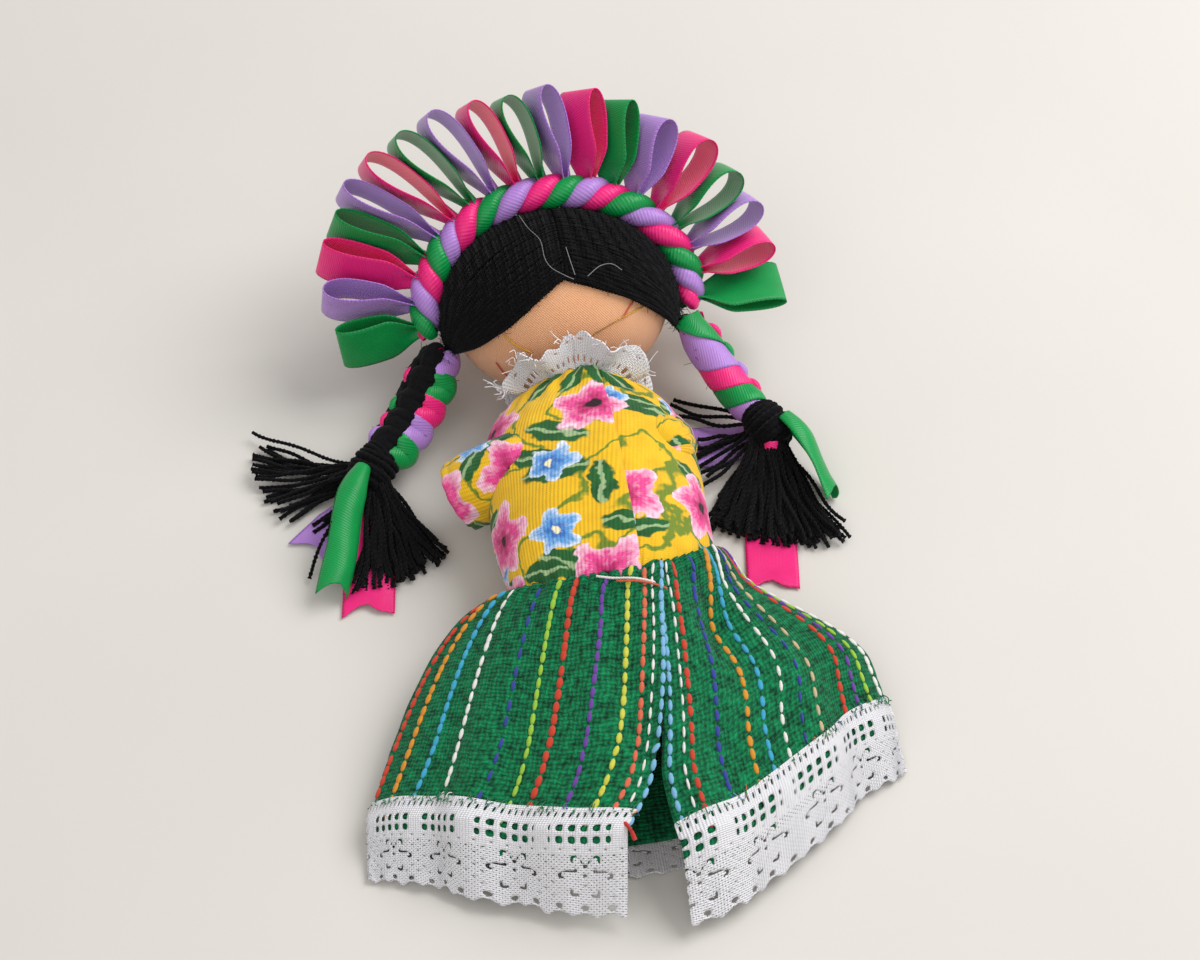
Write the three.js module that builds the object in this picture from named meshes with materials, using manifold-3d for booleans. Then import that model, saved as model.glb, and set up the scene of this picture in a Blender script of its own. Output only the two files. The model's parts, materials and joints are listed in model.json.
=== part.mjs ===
// A small cloth doll lying face down: stuffed cotton head, body and limbs, yarn hair with a plaited
// ribbon crown, braids with tassels, a printed blouse, a woven skirt and lace.
// Millimetres, +Z up, +Y from the hem to the crown, origin on the flat of the belly that rests down.
import * as THREE from "three";
import { mergeVertices } from "three/addons/utils/BufferGeometryUtils.js";
import Module from "manifold-3d";

// Gaps between sewn or touching pieces and in rounded seats, and how far stuffed cloth lies flat
const CLEARANCE = 0.3;
const SEAT_CLEARANCE = 0.6;
const REST_FLAT = 0.5;

// Stuffed body, with its neck
const BODY_HALF_WIDTH = 21;
const BODY_HALF_DEPTH = 15;
const SEAT_Y = -36;
const SHOULDER_Y = 33;
const SKIN_THICKNESS = 1;
const NECK_RADIUS = 8;
const NECK_LENGTH = 2;
const NECK_RISE = 3;

// Stuffed head, tipped back, and how deep the neck's round end sits in it
const HEAD_HALF_WIDTH = 25;
const HEAD_HALF_HEIGHT = 20.2;
const HEAD_HALF_DEPTH = 22;
const HEAD_TILT = THREE.MathUtils.degToRad(45);
const NECK_SEAT = 4;

// Yarn hair: from the parting to the braid roots beside the nape
const HAIR_THICKNESS = 2.1;
const PARTING_GAP = 0.5;
const PARTING_FRONT = THREE.MathUtils.degToRad(62);
const PARTING_BACK = THREE.MathUtils.degToRad(86);
const BRAID_ROOT_DROP = THREE.MathUtils.degToRad(20);
const BRAID_ROOT_TURN = THREE.MathUtils.degToRad(8);
const HAIR_REACH = 0.98;

// Ribbon, and the crown plaited of it
const RIBBON_WIDTH = 11.5;
const RIBBON_THICKNESS = 0.5;
const CROWN_RADIUS = 2.6;
const CROWN_END_DROP = THREE.MathUtils.degToRad(9);
const LOOP_BELLY = 5.6;
const LOOP_MOUTH = 1.3;

// Each loop's colour, direction from the doll's right in degrees, and length
const LOOPS = [
  ["green", 187, 18], ["purple", 172, 21], ["pink", 162, 24], ["green", 155, 23], ["purple", 148, 25],
  ["pink", 141, 25], ["green", 133, 24], ["purple", 126, 24], ["pink", 117, 22], ["green", 109, 21],
  ["purple", 100, 22], ["pink", 90, 21], ["green", 80, 20], ["purple", 67, 19], ["pink", 52, 20],
  ["green", 39, 19], ["purple", 28, 19], ["pink", 16, 18], ["green", 2, 19],
];

// Braids, their knots and tassels
const BRAID_RADIUS = 5.2;
const BRAID_ROOT_RADIUS = 4;
const KNOT_RADIUS = 5.4;
const KNOT_LENGTH = 9;
const KNOT_TAPER = 0.8;
const TASSEL_TOP = 9;
const TASSEL_TIP_TOP = 4.5;
const TASSEL_FLOOR = 1.9;
const LEFT_TASSEL_LENGTH = 33;
const RIGHT_TASSEL_LENGTH = 33;
const TAIL_FLOOR = 0.3;

// Blouse, sleeves and arms
const BLOUSE_THICKNESS = 0.8;
const BLOUSE_HEM_Y = -26;
const SHOULDER_JOINT_X = 15.5;
const SHOULDER_JOINT_Y = 15;
const SHOULDER_JOINT_RISE = 5;
const SLEEVE_ROOT_RADIUS = 6.6;
const SLEEVE_END_RADIUS = 7.4;
const SLEEVE_LENGTH = 15;
const SLEEVE_THICKNESS = 0.9;
const ARM_RADIUS = 4.6;
const ARM_LENGTH = 17;
const ARM_SWING = THREE.MathUtils.degToRad(15);
const ARM_SEAT = 2;

// Lace collar
const COLLAR_THICKNESS = 0.6;
const COLLAR_RISE = 3;
const COLLAR_SPREAD = 9.5;
const COLLAR_FRONT_SPREAD = 3;
const COLLAR_WAVES = 8;
const COLLAR_WAVE_DEPTH = 1;

// Skirt, wrapped round the waist with its edges meeting at the back, and the lace sewn on its hem
const SKIRT_THICKNESS = 1;
const WAIST_Y = -15.5;
const WAIST_SAG = 7;
const WAIST_RISE = 5;
const HEM_HALF_WIDTH = 55;
const HEM_SHIFT = -1.5;
const LEFT_HEM_Y = -59.5;
const RIGHT_HEM_Y = -51.5;
const LEFT_BACK_Y = -76.5;
const RIGHT_BACK_Y = -80.5;
const HEM_FRONT_Y = -66;
const HEM_SIDE_Z = 4.5;
const LEFT_BACK_Z = 18;
const RIGHT_BACK_Z = 16;
const HEM_FLOOR = 0.3;
const SKIRT_EDGE_GAP = 0.4;
const SLIT_GAP = 6;
const SLIT_START = 0.74;
const SEAM_TURN = 0.32;
const SIDE_GATHER = 0.3;
const FOLD_DEPTH = 1;
const FOLD_COUNT = 11;
const SIDE_FOLD_SHARE = 0.35;
const VALLEY_DEPTH = 3;
const LACE_THICKNESS = 0.6;
const LACE_GAP = 0.6;
const LACE_LAP = 4;
const LACE_DROP = 12;
const LACE_FLARE = 0.2;
const LACE_LIFT = 2.4;

// Legs
const HIP_X = 9.5;
const HIP_OUT = 2;
const HIP_Z = 12;
const LEG_ROOT_RADIUS = 6.2;
const LEG_RADIUS = 5.4;
const FOOT_RADIUS = 5.6;
const FOOT_X = 11;
const FOOT_Z = 8.4;
const LEG_LENGTH = 31;

const wasm = await Module();
wasm.setup();

const vec = (x, y, z) => new THREE.Vector3(x, y, z);
const lerp = THREE.MathUtils.lerp;
const smoothstep = THREE.MathUtils.smoothstep;

// Geometry from points and triangles, with its faces turned outwards
function closedGeometry(points, triangles) {
  let volume = 0;
  for (const [a, b, c] of triangles) {
    volume += points[a].dot(points[b].clone().cross(points[c]));
  }
  const faces = volume < 0 ? triangles.map(([a, b, c]) => [a, c, b]) : triangles;
  const geometry = new THREE.BufferGeometry();
  geometry.setAttribute("position", new THREE.Float32BufferAttribute(points.flatMap((p) => p.toArray()), 3));
  geometry.setIndex(faces.flat());
  geometry.computeVertexNormals();
  return geometry;
}

// Solid between two surfaces sampled on one grid; wrap joins the last column to the first
function sheetSolid(columns, rows, outer, inner, wrap = false) {
  const across = wrap ? columns : columns + 1;
  const points = [];
  for (const surface of [outer, inner]) {
    for (let i = 0; i < across; i += 1) {
      for (let j = 0; j <= rows; j += 1) {
        points.push(surface(i / columns, j / rows));
      }
    }
  }
  const at = (side, i, j) => side * across * (rows + 1) + (i % across) * (rows + 1) + j;
  const triangles = [];
  const quad = (a, b, c, d) => triangles.push([a, b, c], [a, c, d]);
  for (let i = 0; i < columns; i += 1) {
    for (let j = 0; j < rows; j += 1) {
      quad(at(0, i, j), at(0, i + 1, j), at(0, i + 1, j + 1), at(0, i, j + 1));
      quad(at(1, i, j), at(1, i, j + 1), at(1, i + 1, j + 1), at(1, i + 1, j));
    }
    quad(at(0, i, 0), at(1, i, 0), at(1, i + 1, 0), at(0, i + 1, 0));
    quad(at(0, i, rows), at(0, i + 1, rows), at(1, i + 1, rows), at(1, i, rows));
  }
  for (let j = 0; j < rows && !wrap; j += 1) {
    quad(at(0, 0, j), at(0, 0, j + 1), at(1, 0, j + 1), at(1, 0, j));
    quad(at(0, columns, j), at(1, columns, j), at(1, columns, j + 1), at(0, columns, j + 1));
  }
  return closedGeometry(points, triangles);
}

// Sheet of even thickness about a middle surface
function evenSheet(columns, rows, middle, thickness, wrap = false) {
  const step = 1e-3;
  const normal = (u, v) => {
    const low = Math.max(v - step, 0);
    const high = Math.min(v + step, 1);
    const left = wrap ? u - step : Math.max(u - step, 0);
    const right = wrap ? u + step : Math.min(u + step, 1);
    const across = middle(right, v).sub(middle(left, v));
    const along = middle(u, high).sub(middle(u, low));
    return across.cross(along).normalize();
  };
  const side = (distance) => (u, v) => middle(u, v).addScaledVector(normal(u, v), distance);
  return sheetSolid(columns, rows, side(thickness / 2), side(-thickness / 2), wrap);
}

// Solid through rings of points, closed at both ends
function loftSolid(rings) {
  const count = rings[0].length;
  const points = rings.flat();
  const triangles = [];
  for (let i = 0; i + 1 < rings.length; i += 1) {
    for (let j = 0; j < count; j += 1) {
      const a = i * count + j;
      const b = i * count + ((j + 1) % count);
      triangles.push([a, b, b + count], [a, b + count, a + count]);
    }
  }
  for (const [ring, first, turn] of [[rings[0], 0, 1], [rings.at(-1), points.length - count, 0]]) {
    const centre = ring.reduce((sum, p) => sum.add(p), vec(0, 0, 0)).divideScalar(count);
    const hub = points.push(centre) - 1;
    for (let j = 0; j < count; j += 1) {
      const a = first + j;
      const b = first + ((j + 1) % count);
      triangles.push(turn ? [hub, b, a] : [hub, a, b]);
    }
  }
  return closedGeometry(points, triangles);
}

// Round solid along +Y from a profile of [distance, radius] pairs
function turnedSolid(profile, sides) {
  return loftSolid(profile.map(([y, radius]) => Array.from({ length: sides }, (_, k) => {
    const angle = (2 * Math.PI * k) / sides;
    return vec(radius * Math.cos(angle), y, radius * Math.sin(angle));
  })));
}

// Round solid along a curve, with the radius a function of the share of its length
function tubeSolid(curve, radiusAt, steps, sides) {
  const frames = curve.computeFrenetFrames(steps, false);
  const rings = Array.from({ length: steps + 1 }, (_, i) => {
    const centre = curve.getPointAt(i / steps);
    const radius = radiusAt(i / steps);
    return Array.from({ length: sides }, (_, k) => {
      const angle = (2 * Math.PI * k) / sides;
      return centre.clone()
        .addScaledVector(frames.normals[i], radius * Math.cos(angle))
        .addScaledVector(frames.binormals[i], radius * Math.sin(angle));
    });
  });
  return loftSolid(rings);
}

// Profile of a rounded end: a quarter circle from the axis out to the full radius
function roundEnd(centre, radius, direction, steps = 4) {
  return Array.from({ length: steps }, (_, i) => {
    const angle = (Math.PI / 2) * ((i + 0.35) / steps);
    return [centre + direction * radius * Math.cos(angle), radius * Math.sin(angle)];
  });
}

function solidOf(geometry) {
  const bare = geometry.clone();
  bare.deleteAttribute("normal");
  bare.deleteAttribute("uv");
  const merged = mergeVertices(bare, 1e-4);
  return new wasm.Manifold(new wasm.Mesh({
    numProp: 3,
    vertProperties: new Float32Array(merged.attributes.position.array),
    triVerts: new Uint32Array(merged.index.array),
  }));
}

function geometryOf(solid) {
  const mesh = solid.getMesh();
  const geometry = new THREE.BufferGeometry();
  geometry.setAttribute("position", new THREE.BufferAttribute(new Float32Array(mesh.vertProperties), 3));
  geometry.setIndex(new THREE.BufferAttribute(new Uint32Array(mesh.triVerts), 1));
  geometry.computeVertexNormals();
  return geometry;
}

function ballSolid(centre, radius) {
  return solidOf(new THREE.SphereGeometry(radius, 14, 8).translate(centre.x, centre.y, centre.z));
}

// Half of all the space there is, larger than the whole doll: past a plane at right angles to a direction
function halfSpace(direction, distance) {
  const size = 600;
  const centre = direction.clone().multiplyScalar(distance + size / 2);
  return new THREE.BoxGeometry(size, size, size).translate(centre.x, centre.y, centre.z);
}

// What lies above the table, seen in a frame placed by matrix
function aboveTable(matrix) {
  return solidOf(halfSpace(vec(0, 0, 1), 0).applyMatrix4(matrix.clone().invert()));
}

// Finishes: plain cotton, printed cotton, yarn, satin ribbon, woven wool, lace, fibre filling
const finish = (color, roughness) => new THREE.MeshStandardMaterial({ color, roughness, metalness: 0 });
const skinCotton = finish(0xe8a678, 0.85);
const blouseCotton = finish(0xe9be1e, 0.8);
const blackYarn = finish(0x17171a, 0.9);
const skirtWeave = finish(0x0b7a4a, 0.9);
const whiteLace = finish(0xf2f0f6, 0.8);
const fibre = finish(0xf4f2ec, 0.95);
const satin = { green: finish(0x128a43, 0.35), purple: finish(0x9667be, 0.35), pink: finish(0xe0267a, 0.35) };

const doll = new THREE.Group();

function addPiece(parent, name, geometry, material) {
  const mesh = new THREE.Mesh(geometry, material);
  mesh.name = name;
  parent.add(mesh);
  return mesh;
}

// Body: a stuffed pillow, widest at the waist and deepest at the belly
const BODY_Z = BODY_HALF_DEPTH + CLEARANCE + BLOUSE_THICKNESS - REST_FLAT;

function bodySection(y, offset = 0) {
  const span = SHOULDER_Y - SEAT_Y + 2 * offset;
  const share = THREE.MathUtils.clamp((y - SEAT_Y + offset) / span, 0.002, 0.998);
  return {
    halfWidth: BODY_HALF_WIDTH * Math.sin(Math.PI * share ** 0.72) ** 0.42 + offset,
    halfDepth: BODY_HALF_DEPTH * Math.sin(Math.PI * share ** 1.15) ** 0.3 + offset,
  };
}

function bodyForm(offset) {
  const stations = 9;
  const sides = 18;
  const low = SEAT_Y - offset;
  const high = SHOULDER_Y + offset;
  const rings = Array.from({ length: stations + 1 }, (_, i) => {
    const y = lerp(low, high, (1 - Math.cos((Math.PI * i) / stations)) / 2);
    const { halfWidth, halfDepth } = bodySection(y, offset);
    return Array.from({ length: sides }, (_, k) => {
      const angle = (2 * Math.PI * k) / sides;
      return vec(halfWidth * Math.cos(angle), y, BODY_Z + halfDepth * Math.sin(angle));
    });
  });
  return solidOf(loftSolid(rings));
}

const neckPivot = vec(0, SHOULDER_Y + NECK_LENGTH, BODY_Z + NECK_RISE);

function neckForm(offset) {
  const root = vec(0, SHOULDER_Y - NECK_RADIUS, BODY_Z);
  const radius = NECK_RADIUS + offset;
  const stem = tubeSolid(new THREE.LineCurve3(root, neckPivot), () => radius * 0.94, 2, 16);
  return solidOf(stem).add(ballSolid(neckPivot, radius));
}

const shoulders = [-1, 1].map((side) => vec(
  side * SHOULDER_JOINT_X,
  SHOULDER_JOINT_Y,
  BODY_Z + SHOULDER_JOINT_RISE,
));
const hips = [-1, 1].map((side) => vec(side * HIP_X, SEAT_Y - HIP_OUT, HIP_Z));

// Sleeves: the left one lies out to the side, the right one under the shoulder
const armDirections = [vec(-0.82, -0.02, -0.5).normalize(), vec(0.12, 0.62, -0.78).normalize()];

function sleeveForm(gap, sides, steps) {
  const widest = SLEEVE_END_RADIUS + gap;
  return turnedSolid([
    ...roundEnd(0, SLEEVE_ROOT_RADIUS + gap, -1, steps),
    [0, SLEEVE_ROOT_RADIUS + gap],
    [SLEEVE_LENGTH * 0.45, lerp(SLEEVE_ROOT_RADIUS + gap, widest, 0.6)],
    [SLEEVE_LENGTH * 0.75, widest],
    [SLEEVE_LENGTH + gap, widest],
  ], sides);
}

// Room that the sleeves press into the soft body as they swing, and rounded seats for the thighs
function limbRoom(gap, sides) {
  const cornerGap = gap + SLEEVE_END_RADIUS * (1 / Math.cos(Math.PI / sides) - 1);
  const rooms = hips.map((centre) => ballSolid(centre, LEG_ROOT_RADIUS + gap));
  shoulders.forEach((centre, index) => {
    for (const swing of [-ARM_SWING, 0, ARM_SWING]) {
      const lie = new THREE.Quaternion().setFromUnitVectors(vec(0, 1, 0), armDirections[index]);
      const turn = new THREE.Quaternion().setFromAxisAngle(vec(1, 0, 0), swing).multiply(lie);
      const place = new THREE.Matrix4().compose(centre, turn, vec(1, 1, 1));
      rooms.push(solidOf(sleeveForm(cornerGap, sides, 2).applyMatrix4(place)));
    }
  });
  return rooms.reduce((all, room) => all.add(room));
}

const bodyOuter = bodyForm(0).add(neckForm(0));
const bodyInner = bodyForm(-SKIN_THICKNESS).add(neckForm(-SKIN_THICKNESS));
const fillingInset = SKIN_THICKNESS + CLEARANCE;
const bodyFilling = bodyForm(-fillingInset).add(neckForm(-fillingInset));
const limbSeats = limbRoom(SEAT_CLEARANCE, 8);
addPiece(doll, "body_cloth", geometryOf(bodyOuter.subtract(bodyInner).subtract(limbSeats)), skinCotton);
const fillingSeats = limbRoom(SEAT_CLEARANCE + SKIN_THICKNESS, 6);
addPiece(doll, "body_filling", geometryOf(bodyFilling.subtract(fillingSeats)), fibre);

// Blouse: a cotton shell on the body, open at the neck, the armholes and the waist
const blouseOffset = CLEARANCE + BLOUSE_THICKNESS;
const blouseShell = bodyForm(blouseOffset).subtract(bodyForm(CLEARANCE));
const neckHole = neckForm(CLEARANCE);
const belowWaist = solidOf(halfSpace(vec(0, -1, 0), -BLOUSE_HEM_Y));
const blouse = blouseShell
  .subtract(neckHole)
  .subtract(belowWaist)
  .subtract(limbSeats)
  .intersect(aboveTable(new THREE.Matrix4()));
addPiece(doll, "blouse_body", geometryOf(blouse), blouseCotton);

// Sleeves and arms turn together about the shoulders
["left", "right"].forEach((side, index) => {
  const arm = new THREE.Group();
  arm.position.copy(shoulders[index]);
  arm.quaternion.setFromUnitVectors(vec(0, 1, 0), armDirections[index]);
  doll.add(arm);

  const sleeveHollow = turnedSolid([
    [ARM_SEAT, ARM_RADIUS + CLEARANCE],
    [SLEEVE_LENGTH * 0.45, lerp(ARM_RADIUS + CLEARANCE, SLEEVE_END_RADIUS - SLEEVE_THICKNESS, 0.6)],
    [SLEEVE_LENGTH * 0.75, SLEEVE_END_RADIUS - SLEEVE_THICKNESS],
    [SLEEVE_LENGTH + 1, SLEEVE_END_RADIUS - SLEEVE_THICKNESS],
  ], 16);
  const sleeve = solidOf(sleeveForm(0, 16, 4)).subtract(solidOf(sleeveHollow));
  addPiece(arm, `${side}_sleeve`, geometryOf(sleeve), blouseCotton);

  const armForm = turnedSolid([
    [ARM_SEAT + CLEARANCE, ARM_RADIUS],
    [ARM_LENGTH * 0.5, ARM_RADIUS * 0.92],
    [ARM_LENGTH - ARM_RADIUS * 1.6, ARM_RADIUS * 0.8],
    [ARM_LENGTH - ARM_RADIUS, ARM_RADIUS * 0.92],
    ...roundEnd(ARM_LENGTH - ARM_RADIUS, ARM_RADIUS, 1).reverse(),
  ], 12);
  addPiece(arm, `${side}_arm`, armForm, skinCotton);
});

// Lace collar: a gathered frill standing round the neck on the blouse
const collarBase = NECK_RADIUS + CLEARANCE + COLLAR_THICKNESS;
function collarPoint(around, up) {
  const angle = 2 * Math.PI * around;
  const wave = COLLAR_WAVE_DEPTH * up * Math.sin(COLLAR_WAVES * angle);
  const spread = lerp(COLLAR_FRONT_SPREAD, COLLAR_SPREAD, (1 + Math.sin(angle)) / 2);
  const radius = collarBase + spread * up ** 1.2 + wave;
  const y = SHOULDER_Y + blouseOffset + CLEARANCE + COLLAR_THICKNESS + COLLAR_RISE * up - 0.6 * wave;
  const axisZ = lerp(BODY_Z, neckPivot.z, (y - SHOULDER_Y + NECK_RADIUS) / (NECK_LENGTH + NECK_RADIUS));
  return vec(radius * Math.cos(angle), y, axisZ + radius * Math.sin(angle));
}
addPiece(doll, "collar_lace", evenSheet(40, 2, collarPoint, COLLAR_THICKNESS, true), whiteLace);

// Legs: stuffed tubes from the seat to a rounded foot, inside the skirt
["left", "right"].forEach((side, index) => {
  const outward = index === 0 ? -1 : 1;
  const foot = vec(outward * FOOT_X, hips[index].y - LEG_LENGTH, FOOT_Z);
  const leg = new THREE.Group();
  leg.position.copy(hips[index]);
  leg.quaternion.setFromUnitVectors(vec(0, 1, 0), foot.clone().sub(hips[index]).normalize());
  doll.add(leg);
  const reach = foot.distanceTo(hips[index]);
  const legForm = turnedSolid([
    ...roundEnd(0, LEG_ROOT_RADIUS, -1),
    [0, LEG_ROOT_RADIUS],
    [reach * 0.15, LEG_RADIUS * 1.03],
    [reach * 0.5, LEG_RADIUS],
    [reach * 0.8, LEG_RADIUS * 0.94],
    [reach, FOOT_RADIUS],
    ...roundEnd(reach, FOOT_RADIUS, 1).reverse(),
  ], 14);
  addPiece(leg, `${side}_leg`, legForm, skinCotton);
});

// Skirt: one length of cloth from the slit's left edge round the front to its right edge
const skirtFit = blouseOffset + CLEARANCE + SKIRT_THICKNESS / 2;
const hemFrontZ = HEM_FLOOR + LACE_THICKNESS + LACE_GAP + SKIRT_THICKNESS / 2;

// The cloth is gathered more at the sides than at the back, where the seam runs to the right above the slit.
// On the table it lies as a flat lens, and its right side turns out late in one deep fold.
function skirtPoint(around, down) {
  const open = SKIRT_EDGE_GAP + SLIT_GAP * Math.max(0, (down - SLIT_START) / (1 - SLIT_START)) ** 1.5;
  const edge = open / lerp(BODY_HALF_WIDTH, HEM_HALF_WIDTH, down ** 0.55);
  const even = Math.PI / 2 + edge + around * (2 * Math.PI - 2 * edge);
  const turn = even - SIDE_GATHER * (1 - down) * Math.sin(2 * even);
  const angle = turn - SEAM_TURN * (1 - down) * Math.max(0, Math.sin(turn));
  const cosine = Math.cos(angle);
  const sine = Math.sin(angle);
  const across = 0.5 * cosine + 0.5 * (1 - 2 * Math.acos(cosine) / Math.PI);
  const arch = Math.max(0, 1 - across ** 2);
  const back = sine > 0 ? arch ** 0.85 : 0;
  const front = sine > 0 ? 0 : arch ** 0.85;
  const wing = smoothstep(across, 0.3, 0.8);
  const flare = lerp(down ** (0.55 + 0.6 * back), 0.38 * down ** 0.6 + 0.62 * smoothstep(down, 0.2, 0.75), wing);
  const waistY = WAIST_Y + WAIST_RISE * Math.max(0, cosine) ** 2 - WAIST_SAG * Math.abs(sine);
  const waist = bodySection(waistY);
  const onRight = around > 0.5;
  const sideY = across > 0 ? RIGHT_HEM_Y : LEFT_HEM_Y;
  const middleY = sine > 0 ? (onRight ? RIGHT_BACK_Y : LEFT_BACK_Y) : HEM_FRONT_Y;
  const hemY = lerp(sideY, middleY, arch ** 1.6);
  const backZ = onRight ? RIGHT_BACK_Z : LEFT_BACK_Z;
  const hemZ = HEM_SIDE_Z + (backZ - HEM_SIDE_Z) * back - (HEM_SIDE_Z - hemFrontZ) * front ** 0.4;
  const loose = back + SIDE_FOLD_SHARE * Math.abs(cosine) * (1 - front);
  const valley = Math.exp(-(((across - 0.6) / 0.1) ** 2) - ((down - 0.38) / 0.15) ** 2);
  const fold = FOLD_DEPTH * down * loose * Math.sin(FOLD_COUNT * angle) - VALLEY_DEPTH * back * valley;
  return vec(
    lerp((waist.halfWidth + skirtFit) * cosine, HEM_HALF_WIDTH * across + HEM_SHIFT, flare) + fold * cosine,
    lerp(waistY, hemY, down ** (1.1 + 0.2 * wing)),
    lerp(BODY_Z + (waist.halfDepth + skirtFit) * sine, hemZ, down) + fold * back,
  );
}
addPiece(doll, "skirt", evenSheet(60, 6, skirtPoint, SKIRT_THICKNESS), skirtWeave);

// Lace on the hem: its header lies on the cloth, the rest hangs past the hem to the table
const laceStand = SKIRT_THICKNESS / 2 + LACE_GAP + LACE_THICKNESS / 2;
function lacePoint(around, down) {
  const step = 1e-3;
  const travel = lerp(-LACE_LAP, LACE_DROP, down);
  const hemSlope = skirtPoint(around, 1).distanceTo(skirtPoint(around, 1 - step)) / step;
  const onCloth = 1 + Math.min(travel, 0) / hemSlope;
  const place = skirtPoint(around, onCloth);
  const fall = place.clone().sub(skirtPoint(around, onCloth - step)).normalize();
  const left = skirtPoint(Math.max(around - step, 0), onCloth);
  const right = skirtPoint(Math.min(around + step, 1), onCloth);
  const out = right.sub(left).cross(fall).normalize();
  const hang = vec(fall.x * LACE_FLARE, fall.y, fall.z).normalize();
  place.addScaledVector(hang, Math.max(travel, 0)).addScaledVector(out, laceStand);
  const rest = HEM_FLOOR + LACE_THICKNESS / 2;
  const lift = LACE_LIFT * Math.max(0, Math.sin(Math.PI * (0.5 + around * 2)));
  place.z = lerp(Math.max(place.z, rest), rest + lift, Math.max(0, travel / LACE_DROP) ** 1.3);
  return place;
}
addPiece(doll, "hem_lace", evenSheet(60, 5, lacePoint, LACE_THICKNESS), whiteLace);

// Head: everything on it is placed in the head's own frame, with +Y to the crown and +Z to the nape
const headReach = Math.hypot(HEAD_HALF_HEIGHT * Math.cos(HEAD_TILT), HEAD_HALF_DEPTH * Math.sin(HEAD_TILT));
const headSink = Math.hypot(HEAD_HALF_HEIGHT * Math.sin(HEAD_TILT), HEAD_HALF_DEPTH * Math.cos(HEAD_TILT));
const head = new THREE.Group();
head.position.set(0, neckPivot.y + NECK_SEAT + headReach, headSink - REST_FLAT);
head.rotation.x = HEAD_TILT;
head.updateMatrixWorld();
doll.add(head);

const headRadii = (offset) => vec(HEAD_HALF_WIDTH, HEAD_HALF_HEIGHT, HEAD_HALF_DEPTH).addScalar(offset);
function headForm(offset) {
  const radii = headRadii(offset);
  return solidOf(new THREE.SphereGeometry(1, 18, 11).scale(radii.x, radii.y, radii.z));
}
const neckInHead = head.worldToLocal(neckPivot.clone());
const headShell = headForm(0).subtract(headForm(-SKIN_THICKNESS));
const neckSeat = NECK_RADIUS + SEAT_CLEARANCE;
const headCloth = headShell
  .subtract(ballSolid(neckInHead, neckSeat))
  .intersect(aboveTable(head.matrixWorld));
addPiece(head, "head_cloth", geometryOf(headCloth), skinCotton);
const headFilling = headForm(-fillingInset).subtract(ballSolid(neckInHead, neckSeat + CLEARANCE));
addPiece(head, "head_filling", geometryOf(headFilling), fibre);

// Hair: each half fans from the parting over the head down to its braid root
function onHead(direction, offset) {
  const radii = headRadii(offset);
  return vec(direction.x * radii.x, direction.y * radii.y, direction.z * radii.z);
}
const braidRoots = [-1, 1].map((side) => vec(
  side * Math.cos(BRAID_ROOT_DROP) * Math.cos(BRAID_ROOT_TURN),
  -Math.sin(BRAID_ROOT_DROP),
  Math.cos(BRAID_ROOT_DROP) * Math.sin(BRAID_ROOT_TURN),
));

function hairHalf(side, root) {
  const strand = (along, down) => {
    const angle = lerp(-PARTING_FRONT, PARTING_BACK, along);
    const start = vec(0, Math.cos(angle), Math.sin(angle));
    const sweep = start.angleTo(root);
    const share = down * HAIR_REACH;
    return start.multiplyScalar(Math.sin((1 - share) * sweep))
      .addScaledVector(root, Math.sin(share * sweep))
      .divideScalar(Math.sin(sweep));
  };
  const surface = (offset) => (along, down) => {
    const place = onHead(strand(along, down), offset);
    place.x += (side * PARTING_GAP / 2) * (1 - down);
    return place;
  };
  return sheetSolid(11, 10, surface(CLEARANCE + HAIR_THICKNESS), surface(CLEARANCE));
}
addPiece(head, "left_hair", hairHalf(-1, braidRoots[0]), blackYarn);
addPiece(head, "right_hair", hairHalf(1, braidRoots[1]), blackYarn);

// Crown: a plaited band over the hair from ear to ear
const crownStand = CLEARANCE + HAIR_THICKNESS + CLEARANCE + CROWN_RADIUS;
function crownPoint(angle, outward = 0) {
  const radii = headRadii(crownStand + outward);
  return vec(radii.x * Math.cos(angle), radii.y * Math.sin(angle), 0);
}
class CrownArc extends THREE.Curve {
  getPoint(share) {
    return crownPoint(lerp(Math.PI + CROWN_END_DROP, -CROWN_END_DROP, share));
  }
}
const crownArc = new CrownArc();
addPiece(head, "crown_plait", tubeSolid(crownArc, () => CROWN_RADIUS, 28, 8), satin.pink);

// Ribbon loops: teardrops of ribbon standing out from the crown, one after each crossing of the plait
function loopSolid(base, direction, length) {
  const side = vec(-direction.y, direction.x, 0);
  const start = 0.34;
  const path = (share) => {
    const turn = lerp(start, 2 * Math.PI - start, share);
    const run = (length * (Math.cos(start) - Math.cos(turn))) / (1 + Math.cos(start));
    const mouth = LOOP_MOUTH * (Math.PI - turn) / (Math.PI - start) * Math.max(0, 1 - run / (0.4 * length));
    const swing = (LOOP_BELLY / 2) * Math.sin(turn) * Math.sin(turn / 2) ** 1.4 / 0.72;
    return base.clone().addScaledVector(direction, run).addScaledVector(side, swing + mouth / 2);
  };
  const face = (share, across) => path(share).setZ((across - 0.5) * RIBBON_WIDTH);
  return evenSheet(14, 1, face, RIBBON_THICKNESS);
}
LOOPS.forEach(([colour, degrees, length], index) => {
  const angle = THREE.MathUtils.degToRad(degrees);
  const share = (index + 0.5) / LOOPS.length;
  const band = crownArc.getPointAt(share);
  const outward = crownArc.getTangentAt(share).cross(vec(0, 0, 1)).multiplyScalar(-1);
  const base = band.addScaledVector(outward, CROWN_RADIUS + CLEARANCE + RIBBON_THICKNESS);
  const name = `ribbon_loop_${String(index + 1).padStart(2, "0")}_${colour}`;
  addPiece(head, name, loopSolid(base, vec(Math.cos(angle), Math.sin(angle), 0), length), satin[colour]);
});

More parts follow.
